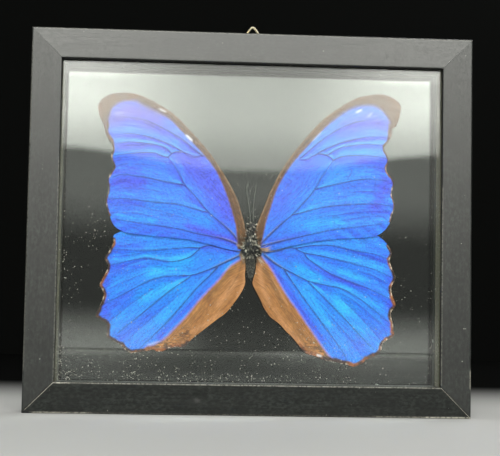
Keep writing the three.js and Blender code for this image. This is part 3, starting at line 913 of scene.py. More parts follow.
            (-37.7, 31.2),
        ],
    },
    "hindwing_right": {
        "root": (4, 76),
        "veins": [
            [(7, 77), (13, 78), (20, 79.7), (25.7, 77.5), (33, 76.3), (40, 74.8), (50, 72.6), (60, 70),
             (68, 66.6)],
            [(22, 79.6), (30, 81), (40, 81), (50, 79), (60, 77.4), (67, 75)],
            [(7, 75.7), (13, 71.3), (20, 67.7), (28, 64), (37, 62), (44, 60.6), (52, 56.4), (60, 50.6),
             (68.4, 43.8)],
            [(28, 63.8), (33, 58.8), (40, 52), (46, 46), (53, 38.6), (60, 31.6)],
            [(16.5, 69), (21, 62.5), (27, 54.3), (33, 46.5), (39, 38.6), (44.6, 31), (47, 26.6)],
            [(26, 77.3), (27.3, 75.2), (30, 73), (38, 68), (44, 65.5), (50, 63.3), (58, 60.5), (68.6, 55.6)],
        ],
        "folds": [
            [(44, 55.6), (50, 50.3), (55, 45.3), (60, 40), (65.6, 34)],
            [(52, 69.4), (60, 66.7), (64, 64.7), (68, 62)],
            [(46, 78.6), (55, 76.5), (64, 73.3), (67.6, 71.4)],
            [(34, 53), (42, 44), (50, 35.5), (55, 29.6)],
            [(58, 34.8), (61, 31)],
            [(44, 58.4), (52, 53.6), (61, 46), (67, 40.6)],
        ],
        "brown": [
            (5.4, 75.4), (6.5, 74), (10, 69.5), (13, 64.5), (18, 56.5), (22.5, 50.5), (27.5, 43.5),
            (32.5, 36.5), (38, 29), (40, 27), (42, 24),
        ],
        "brownSoft": [(0, 0.6), (30, 0.5), (50, 0.8)],
        "margin": [(90, 1), (60, 1.2), (34, 1.3), (24, 1.6)],
        "marginFrom": (38, 82),
        "violetHueAndShade": [
            ([(9, 72.5), (20, 57), (35, 36)], 1.6, 0.9), ([(58, 81), (65, 76)], 3, 0.5),
            ([(60, 62), (66, 58)], 2.6, 0.5), ([(24, 73.4), (40, 66.6), (56, 61.2)], 1.4, 0.7),
            ([(50, 31), (60, 38)], 3, 0.3), ([(14, 76), (24, 75)], 2.4, 0.5),
            ([(67, 70), (68, 55), (66, 42)], 2.4, 0.5),
        ],
        "cyanHueAndSheen": [
            ([(44, 55), (46, 51)], 5, 1), ([(24, 70), (32, 65.6)], 3, 0.9),
            ([(44, 69), (54, 66)], 2.2, 0.7), ([(28, 60), (38, 45)], 3.4, 0.7),
            ([(50, 43), (57, 37)], 2.6, 0.5),
        ],
        "paintedGlint": [([(33, 28.6), (34.6, 28.2)], 0.4, 0.9), ([(8, 79.2), (11.5, 79.3)], 0.5, 0.6)],
        "crumple": [([(28.5, 33.5), (34, 30), (42, 25)], 2.4, 1)],
        "brownShade": [
            ([(7, 69), (12, 60.5), (15.5, 53.5)], 1.2, 0.9), ([(16, 52), (21, 44.6), (26, 38.5)], 1.1, 0.6),
            ([(31, 35), (35, 29.5), (39, 25.5)], 1.7, 0.9), ([(29.3, 32.6), (31, 29.2), (36, 27)], 0.4, 1),
            ([(12, 57), (20, 44), (28, 33)], 0.3, 0.6),
        ],
        "brownGlow": [
            ([(4.6, 70), (6, 61), (9.5, 53)], 1.4, 0.8),
            ([(10.4, 65.4), (14.5, 58.6), (18.4, 52.4)], 0.35, 1),
            ([(12, 50), (19, 40.6), (26, 32.6)], 1.3, 0.6), ([(29.6, 31.4), (32, 30.2)], 0.5, 1),
            ([(30.6, 36), (31, 32)], 0.3, 0.9),
        ],
        "flecks": [
            (65.6, 80.6), (67.2, 75.5), (67.6, 72.4), (68, 70.8), (68.5, 63.3), (68.3, 60.4), (68.5, 58.5),
            (68.4, 50.3), (68.3, 46.5), (68.8, 43.5), (66.2, 36.6), (64.8, 35.8), (63.6, 32.5), (47, 24.6),
        ],
    },
}


def splineThrough(points, spacing):
    # a smooth line through chosen points, with a point about every spacing
    points = np.array(points, float)
    ends = np.vstack([2 * points[0] - points[1], points, 2 * points[-1] - points[-2]])
    line = []
    for before, start, end, after in zip(ends, ends[1:], ends[2:], ends[3:]):
        count = max(2, math.ceil(np.linalg.norm(end - start) / spacing))
        for share in np.arange(count) / count:
            line.append(0.5 * (2 * start + (end - before) * share
                               + (2 * before - 5 * start + 4 * end - after) * share ** 2
                               + (3 * start - before - 3 * end + after) * share ** 3))
    line.append(points[-1])
    return np.array(line)


def gapTo(points, line):
    # distance to a line, share of the way along it, and the side of it, for every point
    best = np.full(len(points), 1e9)
    share = np.zeros(len(points))
    side = np.zeros(len(points))
    lengths = np.linalg.norm(np.diff(line, axis=0), axis=1)
    run = 0.0
    for start, end, length in zip(line, line[1:], lengths):
        way = end - start
        off = points - start
        along = np.clip(off @ way / (way @ way), 0, 1)
        gap = np.hypot(*(off - along[:, None] * way).T)
        near = gap < best
        best[near] = gap[near]
        share[near] = (run + along[near] * length) / lengths.sum()
        side[near] = np.sign(way[0] * off[near, 1] - way[1] * off[near, 0])
        run += length
    return best, share, side


def gapToEdge(points, ring):
    return gapTo(points, np.vstack([ring, ring[:1]]))[0]


def gapToNearest(points, others):
    tree = KDTree(len(others))
    for index, (x, z) in enumerate(others):
        tree.insert((x, z, 0), index)
    tree.balance()
    return np.array([tree.find((x, z, 0))[2] for x, z in points])


def inside(points, ring):
    # even-odd test of every point against a closed ring
    result = np.zeros(len(points), bool)
    for (x1, z1), (x2, z2) in zip(ring, np.roll(ring, -1, axis=0)):
        crosses = (z1 > points[:, 1]) != (z2 > points[:, 1])
        if crosses.any():
            meet = (x2 - x1) * (points[:, 1] - z1) / (z2 - z1 + 1e-12) + x1
            result ^= crosses & (points[:, 0] < meet)
    return result


def smooth(low, high, value):
    share = np.clip((value - low) / (high - low), 0, 1)
    return share * share * (3 - 2 * share)


def bell(value, width, middle=0.0):
    return np.exp(-((value - middle) / width) ** 2)


def valueAlong(pairs, value):
    pairs = sorted(pairs)
    return np.interp(value, [place for place, size in pairs], [size for place, size in pairs])


def strokes(points, given):
    # soft strokes: each is a line, its half width and how strong it is
    total = np.zeros(len(points))
    for line, width, strength in given:
        total = np.maximum(total, strength * bell(gapTo(points, np.array(line, float))[0], width))
    return total


def roughness(points, scale, seed):
    # smooth noise from -1 to 1 at every point
    return np.array([noise.noise(Vector((x * scale, z * scale, seed))) for x, z in points])


def plateOutline(name):
    # the ring round the front of a CAD wing, in mm, and the plane that it lies in
    mesh = bmesh.new()
    mesh.from_mesh(nodes[name].data)
    bmesh.ops.remove_doubles(mesh, verts=mesh.verts, dist=0.002 * mm)
    mesh.normal_update()
    following = {}
    for face in mesh.faces:
        if face.normal.y < -0.99:
            for loop in face.loops:
                if all(other is face or other.normal.y > -0.99 for other in loop.edge.link_faces):
                    following[loop.vert] = loop.link_loop_next.vert
    first = vert = next(iter(following))
    ring = []
    while not ring or vert is not first:
        ring.append((vert.co.x / mm, vert.co.z / mm))
        vert = following[vert]
    plane = first.co.y
    mesh.free()
    dense = []
    for start, end in zip(np.array(ring), np.roll(ring, -1, axis=0)):
        count = max(1, round(np.linalg.norm(end - start) / wingSet["edgeStep"]))
        dense += [start + (end - start) * index / count for index in range(count)]
    return np.array(dense), plane


def sheetOver(ring, veins):
    # a fine triangle sheet inside the ring, with rows of points on both sides of every vein
    rows = []
    beside = wingSet["rowGap"]
    for line in veins:
        way = np.gradient(line, axis=0)
        across = np.stack([-way[:, 1], way[:, 0]], 1) / np.linalg.norm(way, axis=1)[:, None]
        rows += [line + across * off for off in (-beside, 0.0, beside)]
    rows = np.vstack(rows)
    low, high = ring.min(0), ring.max(0)
    step = wingSet["grid"]
    grid = []
    for index, z in enumerate(np.arange(low[1], high[1], step * 0.866)):
        xs = np.arange(low[0] + (index % 2) * step / 2, high[0], step)
        grid.append(np.stack([xs, np.full(len(xs), z)], 1))
    grid = np.vstack(grid)
    grid = grid[inside(grid, ring)]
    free = gapToNearest(grid, rows) > wingSet["rowClear"]
    points = np.vstack([grid[free], rows[inside(rows, ring)]])
    points = np.vstack([ring, points[gapToEdge(points, ring) > wingSet["edgeClear"]]])
    count = len(ring)
    edges = [(index, (index + 1) % count) for index in range(count)]
    made = delaunay_2d_cdt([Vector(point) for point in points], edges, [], 1, 1e-5, False)
    verts = np.array([tuple(vert) for vert in made[0]])
    faces = np.array([tuple(face) for face in made[2]])
    kept = faces[inside(verts[faces].mean(axis=1), ring)]  # none in the hollows of the margin
    return verts, [tuple(face) for face in kept.tolist()]


def marginOf(ring, data, isFore):
    # which points of the ring are the free outer margin
    limitX, limitZ = data["marginFrom"]
    outside = ring[:, 0] / limitX > 1
    if isFore:
        return outside & (ring[:, 1] > limitZ)
    return (outside & (ring[:, 1] < limitZ)) | (ring[:, 1] < wingSet["tailBelow"])


def wingField(points, data, veins, ring, isFore):
    # height towards the viewer in mm, and the masks that the scales' colours follow
    mirror = 1 if data["root"][0] > 0 else -1
    along = np.hypot(*(points - np.array(data["root"])).T)
    gaps = []
    height = np.zeros(len(points))
    dark = np.zeros(len(points))
    rootTan = np.zeros(len(points))
    for line in veins:
        gap, share, side = gapTo(points, line)
        gaps.append(gap)
        rootTan = np.maximum(rootTan, bell(gap * side * mirror, 0.20, 0.50) * smooth(19, 8, along))
        height += wingSet["veinHeight"] * (1 - 0.55 * share) * bell(gap, wingSet["veinWidth"])
        thick = wingSet["veinLine"] + wingSet["veinSwell"] * smooth(26, 8, along)
        dark = np.maximum(dark, (1 - 0.45 * smooth(0.55, 1.0, share)) * bell(gap, thick))
    gaps = np.sort(np.array(gaps), axis=0)
    between = gaps[0] / (gaps[0] + gaps[1] + 1e-6)
    edgeGap = gapToEdge(points, ring)
    outward = smooth(12, 50, along)
    uneven = roughness(points, 0.10, 3.0)
    pleat = (0.25 + 0.75 * outward) * (1 + 0.5 * uneven) * np.sin(math.pi * between) ** 2
    height -= wingSet["pleatDepth"] * pleat
    # painted shade: the fold lines are marked to be coloured dark navy
    creaseShade = np.zeros(len(points))
    for index, given in enumerate(data["folds"]):
        gap, share = gapTo(points, splineThrough(given, 1.2))[:2]
        fade = np.sin(math.pi * np.clip(share * 0.9 + 0.1, 0, 1)) ** 0.5 if index else 1.0
        height += wingSet["foldDepth"] * np.exp(-gap / 0.9) * fade * (1 if index % 2 else -1)
        creaseShade = np.maximum(creaseShade, bell(gap, 0.26) * fade)
    height += 0.055 * outward * roughness(np.stack([gaps[0] * 3.2, along * 0.35], 1), 0.42, 9.0)
    waves = np.sin(along * 0.6 + points[:, 1] * 0.9 + 2.5 * uneven)
    height += wingSet["marginWave"] * np.exp(-edgeGap / 4.0) * outward * waves
    height += 0.12 * roughness(points, 0.045, 5.0)
    crumple = strokes(points, data.get("crumple", []))
    height += 0.30 * crumple * roughness(points, 0.8, 12.0)
    height = np.clip(height, *wingSet["foreReach" if isFore else "hindReach"])

    # the line between blue and brown
    brownLine = splineThrough(data["brown"], 1.0)
    if isFore:
        far = 400.0 * mirror
        closing = [(brownLine[-1][0] * 1.5, brownLine[-1][1]), (far, 400), (0, 400), (0, brownLine[0][1])]
    else:
        closing = [(brownLine[-1][0], -400), (0, -400), (0, brownLine[0][1])]
    gap = gapTo(points, brownLine)[0]
    isBrown = inside(points, np.vstack([brownLine, closing]))
    signed = np.where(isBrown, gap, -gap) + 0.22 * roughness(points, 1.1, 1.0)
    softness = valueAlong(data["brownSoft"], points[:, 0])
    brown = smooth(-softness, softness, signed)
    rim = 0.6 * bell(signed, 0.3) if isFore else bell(signed, 0.42, -0.15)
    height += 0.07 * bell(signed, 0.3, 1.5) * isFore

    # the outer margin
    toMargin = gapToNearest(points, ring[marginOf(ring, data, isFore)])
    scallop = 1 + 0.35 * roughness(points, 0.45, 8.0)
    width = valueAlong(data["margin"], points[:, 1]) * scallop
    if isFore:
        brown = np.maximum(brown, 1 - smooth(width * 0.75, width * 1.15, toMargin))
        edging = (1 - smooth(0.16, 0.5 * scallop, toMargin)) * smooth(142, 132, points[:, 1])
    else:
        edging = 1 - smooth(width * 0.80, width * 1.30, toMargin)
    fleck = np.zeros(len(points))
    for x, z in data["flecks"]:
        fleck = np.maximum(fleck, bell(np.hypot((points[:, 0] - x) * 1.4, (points[:, 1] - z) * 0.75), 0.62))
    masks = {
        "vein": dark,
        "creaseShade": creaseShade,
        "brown": brown,
        "rim": rim,
        "edging": edging,
        "fleck": fleck * (1 - smooth(0.25, 0.6, toMargin)),
        "rootTan": rootTan * (1 - brown),
        "crumple": crumple,
        "costa": bell(edgeGap, 0.24, 0.30) * smooth(1.5, 4, toMargin) * brown * isFore,
        "bandLine": bell(signed, 0.3, 1.25) * isFore,
    }
    for name in ("violetHueAndShade", "cyanHueAndSheen", "paintedGlint", "fade", "brownShade", "brownGlow"):
        masks[name] = strokes(points, data.get(name, []))
    return height, masks, np.stack([gaps[0], along, between], 1)


def fringeOf(ring, keep):
    # short scales that stand out of the margin: two base points and a tip each
    verts = []
    faces = []
    count = len(ring)
    for index in np.flatnonzero(keep):
        start = ring[index]
        end = ring[(index + 1) % count]
        way = (end - start) / (np.linalg.norm(end - start) + 1e-9)
        outward = np.array((way[1], -way[0]))
        for share in np.arange(0, 1, wingSet["fringeGap"] / wingSet["edgeStep"]):
            foot = start + (end - start) * (share + random.uniform(-0.1, 0.1)) - outward * 0.08
            reach = wingSet["fringeLength"] * random.uniform(0.35, 1.0)
            tip = foot + outward * reach + way * random.uniform(-0.25, 0.25)
            base = len(verts)
            verts += [foot - way * 0.06, foot + way * 0.06, tip]
            faces.append((base, base + 2, base + 1))
    return np.array(verts), faces


def addWing(name, topMaterial, underMaterial):
    data = wingLines[name]
    isFore = name.startswith("fore")
    ring, plane = plateOutline(name)
    ring = ring + 0.05 * np.stack([roughness(ring, 1.3, 2.0), roughness(ring, 1.3, 6.0)], 1)
    if isFore:
        atRoot = (np.abs(ring[:, 0] - wingSet["middle"]) < 5.2) * smooth(78.6, 81.5, ring[:, 1])
        atRoot = atRoot * smooth(88.5, 85.5, ring[:, 1])
        ring[:, 0] -= wingSet["tuck"] * atRoot * np.sign(ring[:, 0])
    veins = [splineThrough(line, 0.9) for line in data["veins"]]
    points, faces = sheetOver(ring, veins)
    fringe, fringeFaces = fringeOf(ring, marginOf(ring, data, isFore))
    offset = len(points)
    fields = [wingField(part, data, veins, ring, isFore) for part in (points, fringe)]
    height = np.concatenate([field[0] for field in fields])
    masks = {mask: np.concatenate([field[1][mask] for field in fields]) for mask in fields[0][1]}
    tone = roughness(np.repeat(fringe[::3], 3, axis=0), 0.55, 4.0)
    masks["fleck"][offset:] = np.maximum(masks["fleck"][offset:], smooth(0.16, 0.34, tone) * 0.7)
    everyPoint = np.vstack([points, fringe])
    verts = [(x * mm, plane - high * mm, z * mm) for (x, z), high in zip(everyPoint, height)]
    faces = faces + [tuple(corner + offset for corner in face) for face in fringeFaces]
    piece = newPiece(name + "_scales", verts, faces)
    mesh = bmesh.new()
    mesh.from_mesh(piece.data)
    for face in mesh.faces:
        if face.normal.y > 0:
            face.normal_flip()
    mesh.to_mesh(piece.data)
    mesh.free()
    normals = np.zeros(len(verts) * 3, np.float32)
    piece.data.vertices.foreach_get("normal", normals)
    # partly the scales' hue turning with the pleats, partly painted light: faces turned up, towards the
    # light, are made lighter and more azure
    masks["tilt"] = np.clip(0.5 + 1.1 * normals[2::3] + 0.25 * normals[::3], 0, 1)
    for mask, values in masks.items():
        setValues(piece, mask, values)
    setValues(piece, "flow", np.vstack([field[2] for field in fields]), "FLOAT_VECTOR")
    piece.data.materials.append(topMaterial)
    piece.data.materials.append(underMaterial)
    solid = piece.modifiers.new("solid", "SOLIDIFY")
    solid.thickness = wingSet["thickness"]
    solid.offset = -1.0
    solid.material_offset = 1
    selectOnly(piece)
    bpy.ops.object.modifier_apply(modifier=solid.name)
    smoothByAngle(piece, 60)
    finishPiece(piece, "wing_scales", name)
    print(name, "sheet:", len(piece.data.polygons), "faces")


blues = [
    (0.05, (0.022, 0.040, 0.42)),
    (0.28, (0.055, 0.085, 0.80)),
    (0.50, (0.026, 0.165, 0.88)),
    (0.74, (0.012, 0.275, 0.92)),
    (0.98, (0.016, 0.44, 0.95)),
]


def wingTop(name, browns, rimColour, violetness):
    brownDark, brownLight, glowColour = browns
    material, surface = newMaterial(name)
    place = objectCoords()
    flow = attributeOf("flow", "Vector")
    longStreak = streaksOf(flow, (2.8, 0.16, 0), 2.0, 0.55)
    powder = noiseOf(place, 2600.0, 2.0, 0.7)
    cloud = noiseOf(place, 170.0, 3.0, 0.6)
    grain = noiseOf(place, 1100.0, 2.0, 0.7)
    # the tone's first share is painted light from the faces' tilt
    tone = weighted(
        (attributeOf("tilt"), 0.74), (streaksOf(flow, (1.15, 0.10, 0), 3.0, 0.6), 0.34), (longStreak, 0.16),
        (powder, 0.20), (grain, 0.24), (cloud, 0.14), (attributeOf("cyanHueAndSheen"), 0.24),
        (attributeOf("violetHueAndShade"), -0.30))
    # azure strokes raise the tone towards bright azure, partly painted sheen; violet strokes lower it towards
    # dark violet, partly painted shade
    blue = ramp(minus(tone, 0.37 + violetness), *blues)
    shade = mapRange(plus(longStreak, grain), 0.75, 1.2, 0.72, 1.08)
    # the fold lines get painted shade in dark navy
    blue = overlay(
        mixColour(1.0, blue, shade, "MULTIPLY"),
        ("creaseShade", 0.6, (0.035, 0.040, 0.42)),
        ("fade", 0.8, (0.13, 0.065, 0.34)),
        ("rootTan", 0.7, (0.40, 0.26, 0.14)),
        ("vein", 0.96, (0.008, 0.012, 0.085)))
    mottled = weighted((streaksOf(flow, (1.7, 0.10, 0), 3.0, 0.65), 0.6), (cloud, 0.4))
    creased = mapRange(streaksOf(place, (330, 330, 720), 4.0, 0.7, 0.8), 0.40, 0.58)
    brown = overlay(
        ramp(mottled, (0.36, brownDark), (0.64, brownLight)),
        ("vein", 0.35, (0.10, 0.045, 0.018)),
        ("brownGlow", 0.7, glowColour),
        ("brownShade", 0.62, (0.17, 0.085, 0.028)),
        ("bandLine", 0.6, (0.060, 0.020, 0.008)),
        ("costa", 0.7, (0.36, 0.24, 0.14)),
        ("crumple", 0.7, mixColour(creased, (0.58, 0.23, 0.05), (0.055, 0.016, 0.005))))
    fineStreak = weighted((streaksOf(flow, (3.4, 0.16, 0), 2.0, 0.65), 0.7), (grain, 0.3))
    brown = mixColour(1.0, brown, mapRange(fineStreak, 0.36, 0.62, 0.66, 1.16), "MULTIPLY")
    # the last, near-white layer is painted highlights: glints of light on the wing
    colour = overlay(
        blue,
        ("brown", 1, brown),
        ("rim", 0.48, rimColour),
        ("edging", 1, mixColour(mapRange(cloud, 0.46, 0.62), (0.036, 0.012, 0.008), (0.30, 0.09, 0.022))),
        ("fleck", 1, (0.80, 0.64, 0.48)),
        ("paintedGlint", 1, (0.80, 0.78, 0.85)))
    ridges = streaksOf(flow, (6.0, 0.5, 0), 2.0)
    rough = mapRange(powder, 0.3, 0.7, 0.42, 0.58)
    normal = bump(plus(powder, ridges), 0.22, 0.06 * mm)
    setLook(surface, colour, rough, normal, {"Specular IOR Level": 0.35})
    return material


def wingUnder(name):
    material, surface = newMaterial(name)
    place = objectCoords()
    streak = streaksOf(attributeOf("flow", "Vector"), (1.5, 0.15, 0), 3.0, 0.6)
    mottled = weighted((streak, 0.5), (noiseOf(place, 120.0, 4.0, 0.6), 0.5))
    browns = (0.34, (0.060, 0.036, 0.020)), (0.52, (0.125, 0.078, 0.042)), (0.68, (0.23, 0.155, 0.09))
    colour = overlay(
        ramp(mottled, *browns),
        ("vein", 0.6, (0.34, 0.24, 0.14)),
        ("edging", 1, (0.05, 0.028, 0.018)),
        ("fleck", 1, (0.70, 0.60, 0.48)))
    powder = noiseOf(place, 2600.0, 2.0, 0.7)
    setLook(surface, colour, mapRange(powder, 0.3, 0.7, 0.6, 0.8), bump(powder, 0.3, 0.05 * mm))
    return material


underside = wingUnder("wingUnderside")
foreBrowns = (0.050, 0.018, 0.004), (0.195, 0.075, 0.014), (0.32, 0.17, 0.06)  # dark, light, glow
hindBrowns = (0.25, 0.090, 0.020), (0.52, 0.215, 0.060), (0.66, 0.30, 0.125)
foreRim = (0.16, 0.10, 0.32)
hindTop = wingTop("hindScales", hindBrowns, (0.42, 0.26, 0.62), -0.09)
addWing("forewing_left", wingTop("foreScalesLeft", foreBrowns, foreRim, 0.05), underside)
addWing("forewing_right", wingTop("foreScalesRight", foreBrowns, foreRim, 0.0), underside)
addWing("hindwing_left", hindTop, underside)
addWing("hindwing_right", hindTop, underside)


# The body: head, thorax and ringed abdomen, with eyes, and hair set on it in tufts

bodySet = {
    "axisX": 0.3,  # all in mm
    "flattening": 0.85,
    "abdomenEnd": 75.0,
    "ringGap": 1.35,
    "ringDepth": 0.09,
    "eyeSize": 0.95,
    "eyes": [(-1.05, 89.3), (1.75, 89.4)],
    "hairRadius": 0.075,
    "tuftHairs": 11,
    "paleRadius": 0.085,
    "tufts": 330,
    "tuftSpan": (74.4, 90.8),  # heights between which they grow
    "headFrom": 86.2,
    "skirtTufts": 90,
    "skirtSpan": (74.8, 78.6),
    "shortHairs": 1500,
    "shortSpan": (65.0, 75.4),
    "slim": [(74.5, 1), (77, 1.06), (79, 0.92), (80.5, 0.74), (82, 0.60), (84, 0.68), (85.5, 1), (92, 1)],
    "clear": 0.12,  # of the panes
}

# Pale tufts: place x, z, length, direction (x, z), tone from black 0 to cream 1
paleTufts = [
    ((2.1, 90.2), 0.9, (0.5, 0.8), 1), ((0.2, 90.8), 1.1, (-0.5, 0.6), 0.72),
    ((-0.7, 90.6), 0.9, (-0.8, 0.3), 0.62), ((1, 89.4), 1.3, (0.6, -0.9), 0.7),
    ((0.2, 88.8), 1.4, (-0.7, -1), 0.6), ((1.6, 86), 0.9, (0.1, -1), 0.95),
    ((0.6, 84.9), 1.5, (-0.5, -0.9), 0.6), ((0, 83.4), 1.6, (-0.3, -1), 0.82),
    ((0.5, 82.6), 1.3, (0.8, -0.8), 0.72), ((1.6, 82.2), 0.9, (0.8, -0.5), 0.95),
    ((1.4, 80.6), 1.9, (1, -0.25), 0.8), ((2.8, 80), 1.8, (1, -0.2), 0.84), ((-1.9, 78), 1, (0.2, -1), 1),
    ((-2.8, 79.2), 1.7, (-1, 0.2), 0.62), ((-2.6, 81.2), 1.6, (-0.9, 0.5), 0.5),
    ((0.1, 79), 1.4, (0.4, -0.9), 0.48), ((-0.2, 75.4), 1.7, (0, -1), 0.66),
    ((0.8, 75.2), 1.6, (0.2, -1), 0.58), ((-3.4, 76.4), 2, (0.5, -1), 0.8),
    ((-2.6, 75.8), 1.9, (0.3, -1), 0.7), ((3.6, 77.9), 1.8, (0.8, -0.5), 0.55),
    ((3.1, 74.6), 2.9, (0.8, -0.85), 0.86), ((3.5, 75.4), 2.5, (0.4, -1), 0.66),
    ((-3.2, 83.4), 1.3, (-0.7, 0.7), 0.45), ((3.6, 82.4), 1.3, (0.8, 0.6), 0.45),
    ((-1.2, 86.4), 1.2, (-0.9, 0.1), 0.5), ((2, 87.6), 1, (0.9, -0.1), 0.45),
]
# Hair that lies on the wings' roots: start, direction, length, tone, how many
rootHair = [
    ((4.4, 78.5), (1, 0.02), 7, 1.25, 52), ((-4.2, 79.6), (-1, 0.25), 3.2, 0.72, 26),
    ((-4.8, 76.4), (0.45, -1), 5.4, 0.95, 40), ((3.4, 75.2), (0.62, -0.85), 6, 1, 40),
    ((-3.9, 83.2), (-0.55, 0.85), 3, 0.62, 20), ((4.2, 83), (0.6, 0.8), 3, 0.62, 20),
    ((-3, 74.4), (0.05, -1), 4.4, 0.8, 16), ((3.2, 73.6), (0.15, -1), 4, 0.66, 12),
]

bodyLow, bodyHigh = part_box("butterfly_body")
bodyAxisY = (bodyLow.y + bodyHigh.y) / 2
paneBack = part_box("glass_front")[1].y
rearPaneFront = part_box("glass_rear")[0].y


def bodyRadii():
    # the body's half width at each height, off the CAD solid, in mm
    widths = {}
    for vert in nodes["butterfly_body"].data.vertices:
        high = round(vert.co.z / mm, 2)
        widths[high] = max(widths.get(high, 0), vert.co.x / mm - bodySet["axisX"])
    heights = sorted(widths)
    return np.array(heights), np.array([widths[high] for high in heights])


def slimAt(high):
    # the thorax narrows between the forewings
    return float(np.interp(high, *zip(*bodySet["slim"])))


def skinPoint(angle, high, lift=0.0):
    # a point on the body's skin: the angle is 0 at the front, positive to the right
    radius = np.interp(high, *bodyShape) + lift
    return Vector(((bodySet["axisX"] + radius * slimAt(high) * math.sin(angle)) * mm,
                   bodyAxisY - radius * bodySet["flattening"] * math.cos(angle) * mm, high * mm))


def outwardAt(angle, flat=1.0):
    return Vector((math.sin(angle), -math.cos(angle) * flat, 0))


def addCore():
    piece = copyOfNode("butterfly_body", "specimen_body")
    editAll(piece, (bpy.ops.mesh.quads_convert_to_tris, {}),
            (bpy.ops.mesh.subdivide, {"number_cuts": 3, "smoothness": 0.0}))
    axisX = bodySet["axisX"] * mm
    tone = []
    for vert in piece.data.vertices:
        high = vert.co.z / mm
        isAbdomen = high < bodySet["abdomenEnd"]
        shrink = 0.05 * noise.noise(vert.co * 900)
        if isAbdomen:
            shrink -= bodySet["ringDepth"] * abs(math.sin(math.pi * high / bodySet["ringGap"])) ** 6
        vert.co.x = axisX + (vert.co.x - axisX) * (shrink + 0.97) * slimAt(high)
        vert.co.y += (vert.co.y - bodyAxisY) * (shrink - 0.03)
        tone.append(0.08 * noise.noise(vert.co * 1500) + (0.22 if isAbdomen else 0.10))
    setValues(piece, "tone", tone)
    smoothByAngle(piece, 50)
    piece.data.materials.append(hairMaterial("bodySkin", 0.6))
    finishPiece(piece, "body_hair", "butterfly_body")


def addEyes():
    material, surface = newMaterial("darkEye")
    cells = newNode("TexVoronoi", {"Vector": objectCoords(), "Scale": 9000}).outputs["Distance"]
    colour = ramp(cells, (0.0, (0.03, 0.018, 0.01)), (0.6, (0.008, 0.006, 0.005)))
    rough = mapRange(noiseOf(objectCoords(), 700.0), 0.3, 0.7, 0.16, 0.32)
    setLook(surface, colour, rough, bump(cells, 0.3, 0.03 * mm))
    for name, (x, high) in zip(("eye_left", "eye_right"), bodySet["eyes"]):
        place = (x * mm, bodyAxisY - 0.75 * mm, high * mm)
        radius = bodySet["eyeSize"] * mm
        bpy.ops.mesh.primitive_uv_sphere_add(segments=24, ring_count=14, radius=radius, location=place)
        eye = bpy.context.object
        eye.name = name
        eye.scale = (0.8, 1.0, 1.15)
        bpy.ops.object.transform_apply(location=True, rotation=True, scale=True)
        smoothByAngle(eye, 60)
        eye.data.materials.append(material)
        finishPiece(eye, "body_hair")


class HairBundle:
    # hairs are gathered here and made one mesh: each is a three-sided taper with one bend
    def __init__(self):
        self.verts = []
        self.faces = []
        self.tones = []

    def add(self, root, way, length, radius, tone, droop=(0, 0, 0)):
        way = Vector(way).normalized()
        aside = way.orthogonal().normalized()
        other = way.cross(aside)
        middle = root + way * length * 0.55
        tip = root + (way * length + Vector(droop) * length)
        base = len(self.verts)
        for centre, wide in ((root, radius), (middle, radius * 0.72)):
            for corner in range(3):
                angle = 2 * math.pi * corner / 3
                ringPoint = aside * math.cos(angle) + other * math.sin(angle)
                self.verts.append(self.kept(centre + ringPoint * wide))
        self.verts.append(self.kept(tip))
        for corner in range(3):
            after = (corner + 1) % 3
            self.faces.append((base + corner, base + after, base + 3 + after, base + 3 + corner))
            self.faces.append((base + 3 + corner, base + 3 + after, base + 6))
        self.faces.append((base + 2, base + 1, base))
        self.tones += [tone * 0.6] * 3 + [tone * 0.95] * 3 + [tone * 1.1]

    def kept(self, point):
        near = paneBack + bodySet["clear"] * mm
        far = rearPaneFront - bodySet["clear"] * mm
        return Vector((point.x, min(max(point.y, near), far), point.z))

    def make(self, name, material):
        piece = newPiece(name, self.verts, self.faces)
        setValues(piece, "tone", self.tones)
        piece.data.materials.append(material)
        finishPiece(piece, "body_hair")
        print(name, "holds", len(self.verts) // 7, "hairs")


def hairMaterial(name, rough):
    # black to cream by the tone of each hair
    material, surface = newMaterial(name)
    grain = noiseOf(objectCoords(), 3000.0, 2.0, 0.6)
    tone = plus(attributeOf("tone"), times(minus(grain, 0.5), 0.22))
    colour = ramp(
        tone, (0.0, (0.004, 0.004, 0.004)), (0.22, (0.014, 0.014, 0.013)),
        (0.5, (0.17, 0.155, 0.125)), (0.75, (0.48, 0.44, 0.36)), (0.95, (0.86, 0.80, 0.68)))
    rough = mapRange(grain, 0.3, 0.7, rough - 0.1, rough + 0.1)
    setLook(surface, colour, rough, bump(grain, 0.3, 0.03 * mm))
    return material


def addTuft(bundle, root, outward, lie, length, tone, thick=bodySet["hairRadius"]):
    # a tuft: hairs from a small patch that draw together towards their tips
    for index in range(bodySet["tuftHairs"]):
        spread = Vector([random.gauss(0, 0.16 * mm) for axis in range(3)])
        way = outward * random.uniform(0.25, 0.6) + lie + Vector([random.gauss(0, 0.14) for axis in range(3)])
        reach = length * random.uniform(0.65, 1.1) * mm
        radius = thick * random.uniform(0.7, 1.2) * mm
        droop = -spread / reach * 0.5 + Vector((0, random.uniform(-0.1, 0.1), 0))
        bundle.add(root + spread, way, reach, radius, max(0.0, tone + random.gauss(0, 0.07)), droop)


